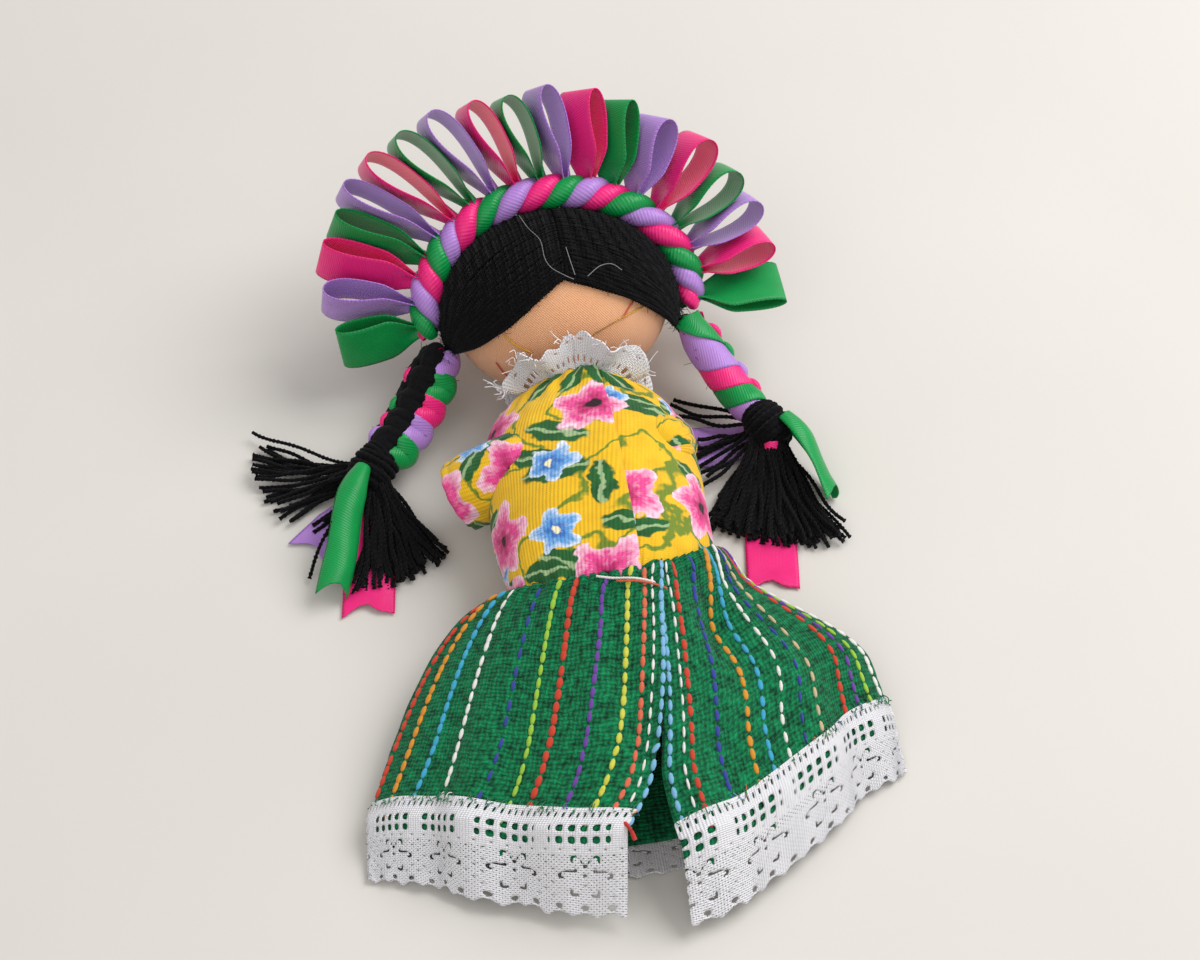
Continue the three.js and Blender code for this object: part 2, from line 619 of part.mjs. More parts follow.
// Braids: each turns on a round root beside the ear and lies out on the table, to a knot and a tassel
const braidRoutes = {
  left: [vec(0, 0, 0), vec(-4.2, -5.9, -4.4), vec(-9, -12, -7.3), vec(-13.9, -17.4, -8.7)],
  right: [vec(0, 0, 0), vec(3.4, -6, -4.8), vec(7.2, -12.6, -8), vec(11, -18.4, -8.9)],
};
const fans = {
  left: {
    from: 140,
    to: 306,
    length: (degrees) => LEFT_TASSEL_LENGTH
      * (1 - 0.3 * Math.exp(-(((degrees - 192) / 34) ** 2)))
      * (1 - 0.44 * Math.exp(-(((degrees - 242) / 20) ** 2)))
      * (1 - 0.3 * Math.max(0, (degrees - 290) / 16)),
  },
  right: {
    from: 228,
    to: 292,
    length: (degrees) => RIGHT_TASSEL_LENGTH * Math.min(1, 0.66 + 0.34 * ((degrees - 228) / 34)),
  },
};
// Ribbon tails: points out from the knot and up from the table, on the table, under the tassel or over it
const onTable = TAIL_FLOOR + RIBBON_THICKNESS / 2;
const underTassel = TASSEL_FLOOR - CLEARANCE - RIBBON_THICKNESS / 2;
const overTassel = (rise) => TASSEL_TIP_TOP + rise;
const tails = {
  left: {
    green: [
      vec(-3.3, -5.6, overTassel(5.5)),
      vec(-5.8, -11, overTassel(4.3)),
      vec(-8.8, -18.5, overTassel(3.2)),
      vec(-13.2, -29.3, overTassel(-1.6)),
    ],
    purple: [vec(-4.5, -5.5, onTable), vec(-10, -11, onTable), vec(-17, -17.5, onTable)],
    pink: [vec(-1.2, -7, underTassel), vec(-3.2, -20, underTassel), vec(-5.2, -35, underTassel)],
  },
  right: {
    green: [vec(4.4, -5, overTassel(5.5)), vec(7.2, -11, overTassel(4.2)), vec(11, -22.5, overTassel(2.2))],
    purple: [vec(-1.5, 0.3, onTable + 0.45), vec(-8, 0.6, onTable + 0.15), vec(-16.5, 0.6, onTable)],
    pink: [vec(-1, -7, underTassel), vec(-3.4, -22, underTassel), vec(-6.2, -40, underTassel)],
  },
};

["left", "right"].forEach((side, index) => {
  const rootStand = CLEARANCE + HAIR_THICKNESS + CLEARANCE + BRAID_ROOT_RADIUS;
  const root = onHead(braidRoots[index], rootStand).applyMatrix4(head.matrixWorld);
  const braid = new THREE.Group();
  braid.position.copy(root);
  doll.add(braid);

  const route = braidRoutes[side];
  const curve = new THREE.CatmullRomCurve3(route);
  const swell = (share) => lerp(BRAID_ROOT_RADIUS, BRAID_RADIUS, Math.min(1, share * 3));
  const plait = solidOf(tubeSolid(curve, swell, 8, 12)).add(ballSolid(route[0], BRAID_ROOT_RADIUS));
  addPiece(braid, `${side}_braid`, geometryOf(plait), blackYarn);

  const floor = -root.z;
  const knotAxis = curve.getTangentAt(1);
  const knotCentre = route.at(-1).clone().addScaledVector(knotAxis, CLEARANCE + KNOT_LENGTH / 2);
  const knot = turnedSolid([
    [-KNOT_LENGTH / 2, KNOT_RADIUS * KNOT_TAPER],
    [-KNOT_LENGTH / 4, KNOT_RADIUS],
    [KNOT_LENGTH / 4, KNOT_RADIUS],
    [KNOT_LENGTH / 2, KNOT_RADIUS * KNOT_TAPER],
  ], 14);
  const knotPiece = addPiece(braid, `${side}_knot`, knot, blackYarn);
  knotPiece.position.copy(knotCentre);
  knotPiece.quaternion.setFromUnitVectors(vec(0, 1, 0), knotAxis);

  const fan = fans[side];
  const hub = vec(knotCentre.x, knotCentre.y, floor);
  const strands = (top) => (around, out) => {
    const degrees = lerp(fan.from, fan.to, around);
    const angle = THREE.MathUtils.degToRad(degrees);
    const inner = Math.hypot(KNOT_LENGTH / 2, KNOT_RADIUS * KNOT_TAPER) + CLEARANCE;
    const radius = lerp(inner, fan.length(degrees), out);
    const height = top ? lerp(TASSEL_TOP, TASSEL_TIP_TOP, out) : TASSEL_FLOOR;
    return hub.clone().add(vec(radius * Math.cos(angle), radius * Math.sin(angle), height));
  };
  addPiece(braid, `${side}_tassel`, sheetSolid(16, 3, strands(true), strands(false)), blackYarn);

  for (const [colour, points] of Object.entries(tails[side])) {
    const tail = new THREE.CatmullRomCurve3(points.map((p) => p.clone().add(hub)));
    const surface = (along, across) => {
      const cross = tail.getTangentAt(along).cross(vec(0, 0, 1)).normalize();
      return tail.getPointAt(along).addScaledVector(cross, (across - 0.5) * RIBBON_WIDTH);
    };
    addPiece(braid, `${side}_tail_${colour}`, evenSheet(8, 1, surface, RIBBON_THICKNESS), satin[colour]);
  }
});

export default doll;
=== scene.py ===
# A small cloth doll lying on its front: stuffed cotton, yarn hair and braids, a crown of satin ribbon,
# a printed blouse, and a woven striped skirt edged with lace.
import json
import math

import bmesh
import bpy
import numpy as np
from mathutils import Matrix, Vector


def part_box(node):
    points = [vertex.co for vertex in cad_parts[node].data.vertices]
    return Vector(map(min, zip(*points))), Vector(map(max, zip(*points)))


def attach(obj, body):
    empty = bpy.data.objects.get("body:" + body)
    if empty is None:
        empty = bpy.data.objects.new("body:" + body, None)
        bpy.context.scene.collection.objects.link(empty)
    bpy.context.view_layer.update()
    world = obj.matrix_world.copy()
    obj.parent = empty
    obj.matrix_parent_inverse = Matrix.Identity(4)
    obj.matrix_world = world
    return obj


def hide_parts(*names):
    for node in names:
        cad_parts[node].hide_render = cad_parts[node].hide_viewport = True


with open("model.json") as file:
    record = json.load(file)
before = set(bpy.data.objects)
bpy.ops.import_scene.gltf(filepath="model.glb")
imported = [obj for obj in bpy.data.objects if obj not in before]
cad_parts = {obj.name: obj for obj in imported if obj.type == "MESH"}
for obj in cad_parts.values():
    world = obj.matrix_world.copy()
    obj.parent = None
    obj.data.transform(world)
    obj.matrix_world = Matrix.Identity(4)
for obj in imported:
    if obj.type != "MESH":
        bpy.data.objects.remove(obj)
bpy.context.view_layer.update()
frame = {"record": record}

# Stuffed body: a pillow of skin-coloured cotton packed with fibre, with a short neck that goes up into
# the head. It lies under the blouse and the skirt, so only the neck and the seat show.
MM = 0.001
TAU = 2 * math.pi
UP = np.array([0.0, 0.0, 1.0])
BODY_HALF_WIDTH = 21 * MM
BODY_HALF_DEPTH = 15 * MM
BODY_INSET = 0.3 * MM
BODY_COLUMNS, BODY_ROWS = 72, 40
SEAT_Y = -36 * MM
SHOULDER_Y = 33 * MM
BODY_Z = 15.6 * MM
NECK_RADIUS = 7.6 * MM
NECK_POINTS = 24
NECK_ROOT = np.array([0, SHOULDER_Y - 12 * MM, BODY_Z])
NECK_INTO_HEAD = np.array([0, 4 * MM, 2 * MM])
SKIN_PITCH = 0.62 * MM
joint_place = {joint["name"]: np.array(joint["pos_m"]) for joint in frame["record"]["behaviour"]["joints"]}


def dye(code):
    """A linear colour from its six-digit code."""
    shares = [int(code[i:i + 2], 16) / 255 for i in (1, 3, 5)]
    return tuple(s / 12.92 if s <= 0.04045 else ((s + 0.055) / 1.055) ** 2.4 for s in shares) + (1.0,)


class Tone:
    """A socket in a material, on which sums are written as on a number."""

    def __init__(self, paint, socket):
        self.paint = paint
        self.socket = socket

    def of(self, operation, *others):
        """The result of a Math node on this value and others."""
        return self.paint.node("ShaderNodeMath", {"operation": operation}, dict(enumerate((self, *others))))

    def __add__(self, other):
        return self.of("ADD", other)

    def __sub__(self, other):
        return self.of("SUBTRACT", other)

    def __rsub__(self, other):
        return (self * -1.0) + other

    def __mul__(self, other):
        return self.of("MULTIPLY", other)

    def __truediv__(self, other):
        return self.of("DIVIDE", other)

    __radd__ = __add__

    def within(self):
        """The value held between 0 and 1."""
        return self.of("MAXIMUM", 0.0).of("MINIMUM", 1.0)

    def wave(self, pitch):
        """A sine that repeats at each pitch."""
        return (self * (TAU / pitch)).of("SINE")

    def beside(self, output):
        """Another output of the same node."""
        return Tone(self.paint, self.socket.node.outputs[output])


class Paint:
    """A material of nodes: one shader and what feeds it."""

    def __init__(self, name):
        self.material = bpy.data.materials.new(name)
        self.material.use_nodes = True
        self.tree = self.material.node_tree
        self.shader = self.tree.nodes["Principled BSDF"]

    def node(self, kind, settings=None, sockets=None, output=0):
        """Adds a node with its settings and what goes into its sockets, and gives one of its outputs."""
        made = self.tree.nodes.new(kind)
        for name, value in (settings or {}).items():
            setattr(made, name, value)
        for key, value in (sockets or {}).items():
            self.feed(made.inputs[key], value)
        return Tone(self, made.outputs[output])

    def feed(self, socket, value):
        """Links a tone to a socket, or sets a plain value on it."""
        if isinstance(value, Tone):
            self.tree.links.new(value.socket, socket)
        else:
            socket.default_value = value

    def flat(self):
        """The place on the piece's own map, in metres of cloth."""
        return self.node("ShaderNodeTexCoord", output="UV")

    def split(self, vector):
        """The first two parts of a vector."""
        first = self.node("ShaderNodeSeparateXYZ", sockets={0: vector})
        return first, first.beside(1)

    def cloth(self):
        """Metres along the cloth and across it."""
        return self.split(self.flat())

    def noise(self, scale, detail=2.0, spot=None):
        """Soft specks in the piece's own space, or over spot."""
        spot = spot or self.node("ShaderNodeTexCoord", output="Object")
        return self.node("ShaderNodeTexNoise", sockets={"Vector": spot, "Scale": scale, "Detail": detail})

    def vector(self, operation, first, second):
        """Vector maths on two values, of which the second one is a number for SCALE."""
        key = "Scale" if operation == "SCALE" else 1
        return self.node("ShaderNodeVectorMath", {"operation": operation}, {0: first, key: second})

    def mix(self, share, first, second):
        """A colour between two, by share."""
        settings = {"data_type": "RGBA"}
        return self.node("ShaderNodeMix", settings, {0: share, 6: first, 7: second}, output=2)

    def bump(self, height, depth, strength=1.0):
        """A surface direction from a height."""
        sockets = {"Strength": strength, "Distance": depth, "Height": height}
        return self.node("ShaderNodeBump", sockets=sockets)

    def shade(self, **sockets):
        """Feeds the shader's sockets, named with underscores, and gives the finished material."""
        for name, value in sockets.items():
            self.feed(self.shader.inputs[name.replace("_", " ")], value)
        return self.material


def plain_cotton(name, colour, shadow, pitch):
    """Plain weave: threads over and under each other, with slightly uneven dye and painted shade between
    them.
    """
    paint = Paint(name)
    along, across = paint.cloth()
    threads = along.wave(pitch) * across.wave(pitch)
    uneven = paint.noise(90.0, 4.0)
    # Colour: uneven dye at random, and painted shade in the dips between the threads.
    return paint.shade(
        Base_Color=paint.mix((threads * 0.22 + uneven * 0.75).within(), dye(shadow), dye(colour)),
        Roughness=0.85,
        Specular_IOR_Level=0.25,
        Sheen_Weight=0.25,
        Normal=paint.bump(threads, 0.12 * MM, 0.7),
    )


def unit(vectors):
    """The same directions at length 1."""
    return vectors / np.linalg.norm(vectors, axis=-1, keepdims=True)


def run_of(path):
    """The length of a path from its start to each of its points."""
    return np.concatenate([[0], np.cumsum(np.linalg.norm(np.diff(path, axis=0), axis=1))])


def side_and_up(ahead, up=UP):
    """The directions sideways and upwards of the way ahead."""
    side = unit(np.cross(ahead, up))
    return side, np.cross(side, ahead)


def grid_of(rows, columns):
    """Two arrays of shares, over rows and over columns."""
    return np.meshgrid(np.linspace(0, 1, rows), np.linspace(0, 1, columns), indexing="ij")


def cloth_map(lengths, widths):
    """A flat map with these lengths over its rows and widths over its columns."""
    return np.stack(np.meshgrid(lengths, widths, indexing="ij"), axis=-1)


def in_scene(name, data):
    """A new object in the scene."""
    made = bpy.data.objects.new(name, data)
    bpy.context.scene.collection.objects.link(made)
    return made


def quads(name, points, faces, corners):
    """A smooth mesh of quads, with a place on the cloth's map for each corner."""
    mesh = bpy.data.meshes.new(name)
    mesh.from_pydata(points.reshape(-1, 3).tolist(), [], faces.tolist())
    mesh.uv_layers.new(name="cloth").data.foreach_set("uv", corners.astype(np.float32).ravel())
    mesh.polygons.foreach_set("use_smooth", [True] * len(mesh.polygons))
    return mesh


def surface(name, points, uv, round_rows=False, closed=False):
    """A piece of quads over a grid of points; round_rows joins the last row to the first one."""
    rows, columns = points.shape[:2]
    i, j = np.meshgrid(np.arange(rows if round_rows else rows - 1), np.arange(columns - 1), indexing="ij")
    i, j = i.ravel(), j.ravel()
    here, after = i * columns + j, (i + 1) % rows * columns + j
    faces = np.stack([here, after, after + 1, here + 1], axis=1)
    corners = np.stack([uv[i, j], uv[i + 1, j], uv[i + 1, j + 1], uv[i, j + 1]], axis=1)
    mesh = quads(name, points, faces, corners)
    if closed:
        bm = bmesh.new()
        bm.from_mesh(mesh)
        bmesh.ops.remove_doubles(bm, verts=bm.verts, dist=0.001 * MM)
        bmesh.ops.recalc_face_normals(bm, faces=bm.faces)
        bm.to_mesh(mesh)
        bm.free()
    return in_scene(name, mesh)


def settle(piece, body, material, slot, *nodes):
    """Gives a finished piece its material, the body that it moves with and the solids that it stands for."""
    piece.data.materials.clear()
    piece.data.materials.append(material)
    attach(piece, body)
    if nodes:
        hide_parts(*nodes)


def join(name, pieces):
    """One object from several, with their maps."""
    bm = bmesh.new()
    for piece in pieces:
        bm.from_mesh(piece.data)
        bpy.data.objects.remove(piece)
    mesh = bpy.data.meshes.new(name)
    bm.to_mesh(mesh)
    bm.free()
    return in_scene(name, mesh)


def keep_shape(piece):
    """Makes what a piece's modifier shows its own plain mesh."""
    ready = piece.evaluated_get(bpy.context.evaluated_depsgraph_get())
    mesh = bpy.data.meshes.new_from_object(ready)
    piece.modifiers.clear()
    old = piece.data
    piece.data = mesh
    bpy.data.meshes.remove(old)
    return piece


def thicken(piece, thickness, offset=0.0):
    """Gives a sheet its thickness, for good."""
    wall = piece.modifiers.new("wall", "SOLIDIFY")
    wall.thickness = thickness
    wall.offset = offset
    return keep_shape(piece)


def body_section(y, offset=0.0):
    """Half the body's width and depth at y."""
    share = np.clip((y - SEAT_Y + offset) / (SHOULDER_Y - SEAT_Y + 2 * offset), 0.002, 0.998)
    half_width = BODY_HALF_WIDTH * np.sin(np.pi * share ** 0.72) ** 0.42 + offset
    half_depth = BODY_HALF_DEPTH * np.sin(np.pi * share ** 1.15) ** 0.3 + offset
    return half_width, half_depth


def tube(name, path, radii, sides=32, up=UP):
    """A closed round solid along a path, with its ends drawn to a point."""
    side, rise = side_and_up(unit(np.gradient(path, axis=0)), up)
    angles = np.linspace(0, TAU, sides, endpoint=False)[:, None, None]
    points = path + (side * np.cos(angles) + rise * np.sin(angles)) * radii[:, None]
    around = np.linspace(0, TAU, sides + 1) * float(np.max(radii))
    return surface(name, points, cloth_map(around, run_of(path)), round_rows=True, closed=True)


skin_cotton = plain_cotton("skin_cotton", "#f6c299", "#e5a273", SKIN_PITCH)
body_angles = np.linspace(0, TAU, BODY_COLUMNS, endpoint=False)[:, None]
body_ys = SEAT_Y + (SHOULDER_Y - SEAT_Y) * (1 - np.cos(np.linspace(0, np.pi, BODY_ROWS))) / 2
half_width, half_depth = body_section(body_ys, -BODY_INSET)
torso_points = np.stack([
    np.cos(body_angles) * half_width,
    np.broadcast_to(body_ys, (BODY_COLUMNS, BODY_ROWS)),
    BODY_Z + np.sin(body_angles) * half_depth,
], axis=-1)
torso_points[:, [0, -1]] = torso_points[:, [0, -1]].mean(axis=0)
body_map = cloth_map(np.linspace(0, TAU, BODY_COLUMNS + 1) * BODY_HALF_WIDTH, body_ys)
torso = surface("torso_cotton", torso_points, body_map, round_rows=True, closed=True)
neck_share = np.linspace(0, 1, NECK_POINTS)
neck_path = NECK_ROOT + (joint_place["neck_nod"] + NECK_INTO_HEAD - NECK_ROOT) * neck_share[:, None]
neck_radii = NECK_RADIUS * np.sin(np.pi * np.clip(neck_share, 0.002, 0.998)) ** 0.18
neck = tube("neck_cotton", neck_path, neck_radii)
stuffed_body = join("stuffed_body", [torso, neck])
settle(stuffed_body, "torso", skin_cotton, "skin_cotton", "body_cloth", "body_filling")

# Head: a stuffed ball of the same cotton, drawn together at the neck and tipped back so that the nape
# shows above the collar. A few bright tacking threads are caught in its seam beside the hair.
HEAD_RADII = np.array([25, 20.2, 22]) * MM
HEAD_TILT = math.radians(45)
HEAD_COLUMNS, HEAD_ROWS = 96, 64
PUCKERS = 17
PUCKER_DEPTH = 0.35 * MM
PUCKER_REACH = 0.14
TABLE_CLEAR = 0.4 * MM
head_low, head_high = (np.array(corner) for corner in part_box("head_cloth"))
head_reach = math.hypot(HEAD_RADII[1] * math.cos(HEAD_TILT), HEAD_RADII[2] * math.sin(HEAD_TILT))
head_centre = np.array([0, (head_low[1] + head_high[1]) / 2, head_high[2] - head_reach])
head_turn = np.array([
    [1, 0, 0],
    [0, math.cos(HEAD_TILT), -math.sin(HEAD_TILT)],
    [0, math.sin(HEAD_TILT), math.cos(HEAD_TILT)],
])


def in_head(points):
    """From the head's own frame, with +Y to the crown and +Z to the nape, to the doll's."""
    return points @ head_turn.T + head_centre


def on_head(directions, offset):
    """Points at a height over the head's cotton, in the head's own frame."""
    return directions * (HEAD_RADII + offset[..., None])


def above_table(points, clear=TABLE_CLEAR):
    """The same points, with those that would sink into the table kept clear of it."""
    points[..., 2] = np.maximum(points[..., 2], clear)
    return points


def hump(distance, width):
    """1 at no distance, and smoothly down to nothing past width."""
    return np.exp(-(distance / width) ** 2)


around, down = (share[:-1] for share in grid_of(HEAD_COLUMNS + 1, HEAD_ROWS))
longitude, polar = around * TAU, down * np.pi
ball = np.stack([
    np.sin(polar) * np.cos(longitude),
    np.cos(polar),
    np.sin(polar) * np.sin(longitude),
], axis=-1)
pucker = hump(1 - down, PUCKER_REACH) * np.sin(longitude * PUCKERS) * PUCKER_DEPTH
head_points = above_table(in_head(on_head(ball, pucker)))
head_map = cloth_map(
    np.linspace(0, TAU, HEAD_COLUMNS + 1) * HEAD_RADII[0], np.linspace(0, np.pi, HEAD_ROWS) * HEAD_RADII[1],
)
stuffed_head = surface("stuffed_head", head_points, head_map, round_rows=True, closed=True)
settle(stuffed_head, "head", skin_cotton, "skin_cotton", "head_cloth", "head_filling")


def node_tree(name, inputs, output):
    """A geometry node tree with named inputs, and a function that adds one node to it."""
    tree = bpy.data.node_groups.new(name, "GeometryNodeTree")
    for title, kind in inputs.items():
        tree.interface.new_socket(title, in_out="INPUT", socket_type=f"NodeSocket{kind}")
    tree.interface.new_socket(output, in_out="OUTPUT", socket_type="NodeSocketGeometry")
    given = tree.nodes.new("NodeGroupInput").outputs

    def add(kind, settings=None, sockets=None):
        """Adds a node, and gives its outputs."""
        made = tree.nodes.new(kind)
        for key, value in (settings or {}).items():
            setattr(made, key, value)
        for key, value in (sockets or {}).items():
            if isinstance(value, bpy.types.NodeSocket):
                tree.links.new(value, made.inputs[key])
            else:
                made.inputs[key].default_value = value
        return made.outputs

    return tree, given, add


def end_tree(tree, given, add, shape):
    """Ends a tree: plain smooth mesh, with its finish set."""
    soft = add("GeometryNodeSetShadeSmooth", sockets={0: shape})[0]
    whole = add("GeometryNodeRealizeInstances", sockets={0: soft})[0]
    dyed = add("GeometryNodeSetMaterial", sockets={0: whole, 2: given["Finish"]})[0]
    tree.links.new(dyed, tree.nodes.new("NodeGroupOutput").inputs[0])
    return tree


def yarn_tree():
    """Geometry nodes that spin yarn along lines: plies wound round each other, as thick as the points say."""
    inputs = {
        "Lines": "Geometry", "Plies": "Int", "Ply depth": "Float", "Turns per metre": "Float", "Sides": "Int",
        "Finish": "Material",
    }
    tree, given, add = node_tree("spun_yarn", inputs, "Yarn")

    def maths(operation, *values):
        """The result of a Math node."""
        return add("ShaderNodeMath", {"operation": operation}, dict(enumerate(values)))[0]

    lines = add("GeometryNodeMeshToCurve", sockets={0: given["Lines"]})[0]
    run = add("GeometryNodeSplineParameter")["Length"]
    angle = maths("MULTIPLY", maths("MULTIPLY", run, given["Turns per metre"]), TAU)
    wound = add("GeometryNodeSetCurveTilt", sockets={0: lines, 2: angle})[0]
    circle = add("GeometryNodeCurvePrimitiveCircle", sockets={0: given["Sides"], 4: 1.0})[0]
    spot = add("GeometryNodeInputPosition")[0]
    x, y, _ = add("ShaderNodeSeparateXYZ", sockets={0: spot})
    lobe = maths("MULTIPLY", maths("ARCTAN2", y, x), given["Plies"])
    swell = maths("MULTIPLY_ADD", maths("COSINE", lobe), given["Ply depth"], 1.0)
    pushed = add("ShaderNodeVectorMath", {"operation": "SCALE"}, {0: spot, 3: swell})[0]
    profile = add("GeometryNodeSetPosition", sockets={0: circle, 2: pushed})[0]
    thick = add("GeometryNodeInputNamedAttribute", sockets={0: "thick"})[0]
    spun = add("GeometryNodeCurveToMesh", sockets={0: wound, 1: profile, 2: thick, 3: True})[0]
    return end_tree(tree, given, add, spun)


yarn_nodes = yarn_tree()


def made_by_nodes(piece, tree, **values):
    """Runs a node tree on a piece and keeps the plain mesh that it makes."""
    modifier = piece.modifiers.new(tree.name, "NODES")
    modifier.node_group = tree
    for item in tree.interface.items_tree:
        name = item.name.lower().replace(" ", "_")
        if item.in_out == "INPUT" and name in values:
            modifier[item.identifier] = values[name]
    return keep_shape(piece)


def yarn(name, paths, thickness, material, plies=3, depth=0.16, pitch=4 * MM, sides=9, tints=None):
    """Strands of yarn along paths; thickness is a radius, or one for each point of each path."""
    points = np.concatenate(paths)
    counts = [len(path) for path in paths]
    starts = np.cumsum([0] + counts[:-1])
    edges = np.concatenate([
        np.stack([first + np.arange(count - 1), first + np.arange(1, count)], axis=1)
        for first, count in zip(starts, counts)
    ])
    mesh = bpy.data.meshes.new(name)
    mesh.from_pydata(points.tolist(), edges.tolist(), [])
    radii = np.full(len(points), thickness) if np.isscalar(thickness) else np.concatenate(thickness)
    mesh.attributes.new("thick", "FLOAT", "POINT").data.foreach_set("value", radii.astype(np.float32))
    if tints is not None:
        colours = np.repeat(np.array(tints, np.float32), counts, axis=0)
        mesh.attributes.new("tint", "FLOAT_COLOR", "POINT").data.foreach_set("color", colours.ravel())
    return made_by_nodes(
        in_scene(name, mesh), yarn_nodes,
        plies=plies, ply_depth=depth, turns_per_metre=1 / pitch, sides=sides, finish=material,
    )


def thread_finish(name, code):
    """Matt sewing thread with a little shade in its twist."""
    paint = Paint(name)
    shade = tuple(0.72 * share for share in dye(code)[:3]) + (1.0,)
    colours = paint.mix(paint.noise(900.0), dye(code), shade)
    return paint.shade(Base_Color=colours, Roughness=0.75, Sheen_Weight=0.2)


def sew(name, lines, radius, finish, pitch, body, slot):
    """Stitches of two-ply sewing thread along lines."""
    stitches = yarn(name, lines, radius, finish, plies=2, pitch=pitch, sides=6)
    settle(stitches, body, finish, slot)


def smooth_path(points, count):
    """A smooth line through points, with its ends at the first and the last one."""
    points = np.asarray(points, float)
    ends = np.concatenate([[2 * points[0] - points[1]], points, [2 * points[-1] - points[-2]]])
    places = np.linspace(0, len(points) - 1, count)
    first = np.minimum(places.astype(int), len(points) - 2)
    t = (places - first)[:, None]
    a, b, c, d = (ends[first + k] for k in range(4))
    chord = 2 * b + (c - a) * t
    return 0.5 * (chord + (2 * a - 5 * b + 4 * c - d) * t ** 2 + (3 * b - a - 3 * c + d) * t ** 3)


def head_line(spots, lift, count, facing=1, padding=0.0):
    """A line over the head through spots given sideways and up, in millimetres.

    They are counted from the middle of the nape, or of the face where facing is -1. Padding is the thickness
    of what lies on the head there.
    """
    flat = np.array(spots) * MM / (HEAD_RADII[:2] + padding)
    ahead = facing * np.sqrt(np.maximum(0, 1 - (flat ** 2).sum(axis=1)))
    over = on_head(np.column_stack([flat, ahead]), np.full(len(flat), lift))
    return in_head(smooth_path(over, count))


NAPE_LIFT = 0.35 * MM
NAPE_POINTS = 24
NAPE_PITCH = 1.2 * MM
GOLD_LINES = [
    [(-14.2, -4.3), (-11.8, -6.8), (-8.7, -8.7)],
    [(2.6, -7.2), (6.6, -5.5), (11.5, -3.5), (17.8, -1.5)],
]
CORAL_LINES = [
    [(15.3, 0.5), (14.1, -0.9), (11.9, -3.5)],
    [(-16.3, -10.4), (-14.7, -13), (-12.8, -14.6)],
]
gold_thread = thread_finish("gold_thread", "#d9a52e")
coral_thread = thread_finish("coral_thread", "#d85a35")
for name, spot_lines, radius, finish in (
    ("gold_tacking", GOLD_LINES, 0.22 * MM, gold_thread),
    ("coral_tacking", CORAL_LINES, 0.2 * MM, coral_thread),
):
    nape_lines = [head_line(spots, NAPE_LIFT, NAPE_POINTS) for spots in spot_lines]
    sew(name, nape_lines, radius, finish, NAPE_PITCH, "head", "skin_cotton")

# Face: eyes, brows, nose and mouth in plain embroidery stitches, on the side that the doll lies on.
# The thread is sewn flat to the cotton, and nothing of it shows from behind.
FACE_POINTS = 12
FACE_PITCH = 1.5 * MM
EYE_X, EYE_Y = 8.0, 4.0
EYE_HALF_WIDTH, EYE_HALF_HEIGHT = 1.6, 1.9
BROW_RISE = 4.2
MOUTH_Y = -6.2
NOSE = [(-0.7, -1.6), (0, -2.1), (0.7, -1.6)]


def face_line(spots, lift=0.3 * MM):
    """A line of thread over the face, kept off the table."""
    return above_table(head_line(spots, lift, FACE_POINTS, facing=-1), TABLE_CLEAR + lift)


black_thread = thread_finish("black_thread", "#1d1a1b")
red_thread = thread_finish("red_thread", "#b3202c")
eye_lines = []
for side in (-1, 1):
    for step in np.linspace(-1, 1, 9):
        half = EYE_HALF_HEIGHT * math.sqrt(1 - 0.9 * step ** 2)
        x = side * EYE_X + step * EYE_HALF_WIDTH
        eye_lines.append(face_line([(x, EYE_Y - half), (x, EYE_Y), (x, EYE_Y + half)], 0.35 * MM))
    eye_lines.append(face_line([
        (side * (EYE_X + dx), EYE_Y + BROW_RISE - 0.14 * dx ** 2) for dx in (-3, -1, 1, 3)
    ]))
sew("eye_stitches", eye_lines, 0.28 * MM, black_thread, FACE_PITCH, "head", "black_yarn")
lip = np.array([(dx, MOUTH_Y + 0.09 * dx ** 2) for dx in (-3, -1.5, 0, 1.5, 3)])
mouth_lines = [face_line(lip + [0, rise]) for rise in (-0.45, 0, 0.45)]
mouth_lines.append(face_line(NOSE))
sew("mouth_stitches", mouth_lines, 0.3 * MM, red_thread, FACE_PITCH, "head", "pink_ribbon")

# Hair: black knitting yarn laid side by side from a middle parting, and drawn down to a braid beside each
# ear. Each half is two layers of strands stitched down along the parting, with short fibres standing off.
SIDES = {"left": -1, "right": 1}
PARTING_FRONT = math.radians(-62)
PARTING_BACK = math.radians(71)
ROOT_DROP = math.radians(20)
ROOT_TURN = math.radians(8)
ROOT_REACH = 0.93
ROOT_SPREAD = 1.1 * MM
HAIR_RADIUS = 0.5 * MM
STRANDS = 86
STRAND_POINTS = 46
STRAND_WAVE = 0.007
TUCK_POINTS = 9
TUCK_TURN = 3 * MM
LOBE_DROOP = {"left": 0.2, "right": 0.03}
HAIR_FIBRES = 1900
HAIR_FIBRE_LENGTH = 2.6 * MM
FIBRE_RADIUS = 0.05 * MM
FIBRE_POINTS = 7
draw = np.random.default_rng(11)


def black_wool():
    """Matt black knitting yarn."""
    paint = Paint("black_wool")
    fleck = paint.noise(1500.0, 3.0)
    return paint.shade(
        Base_Color=paint.mix(fleck, dye("#070708"), dye("#1a1a1d")),
        Roughness=1.0,
        Specular_IOR_Level=0.06,
        Sheen_Weight=0.05,
        Sheen_Roughness=0.5,
        Normal=paint.bump(fleck, 0.15 * MM, 0.6),
    )


wool = black_wool()


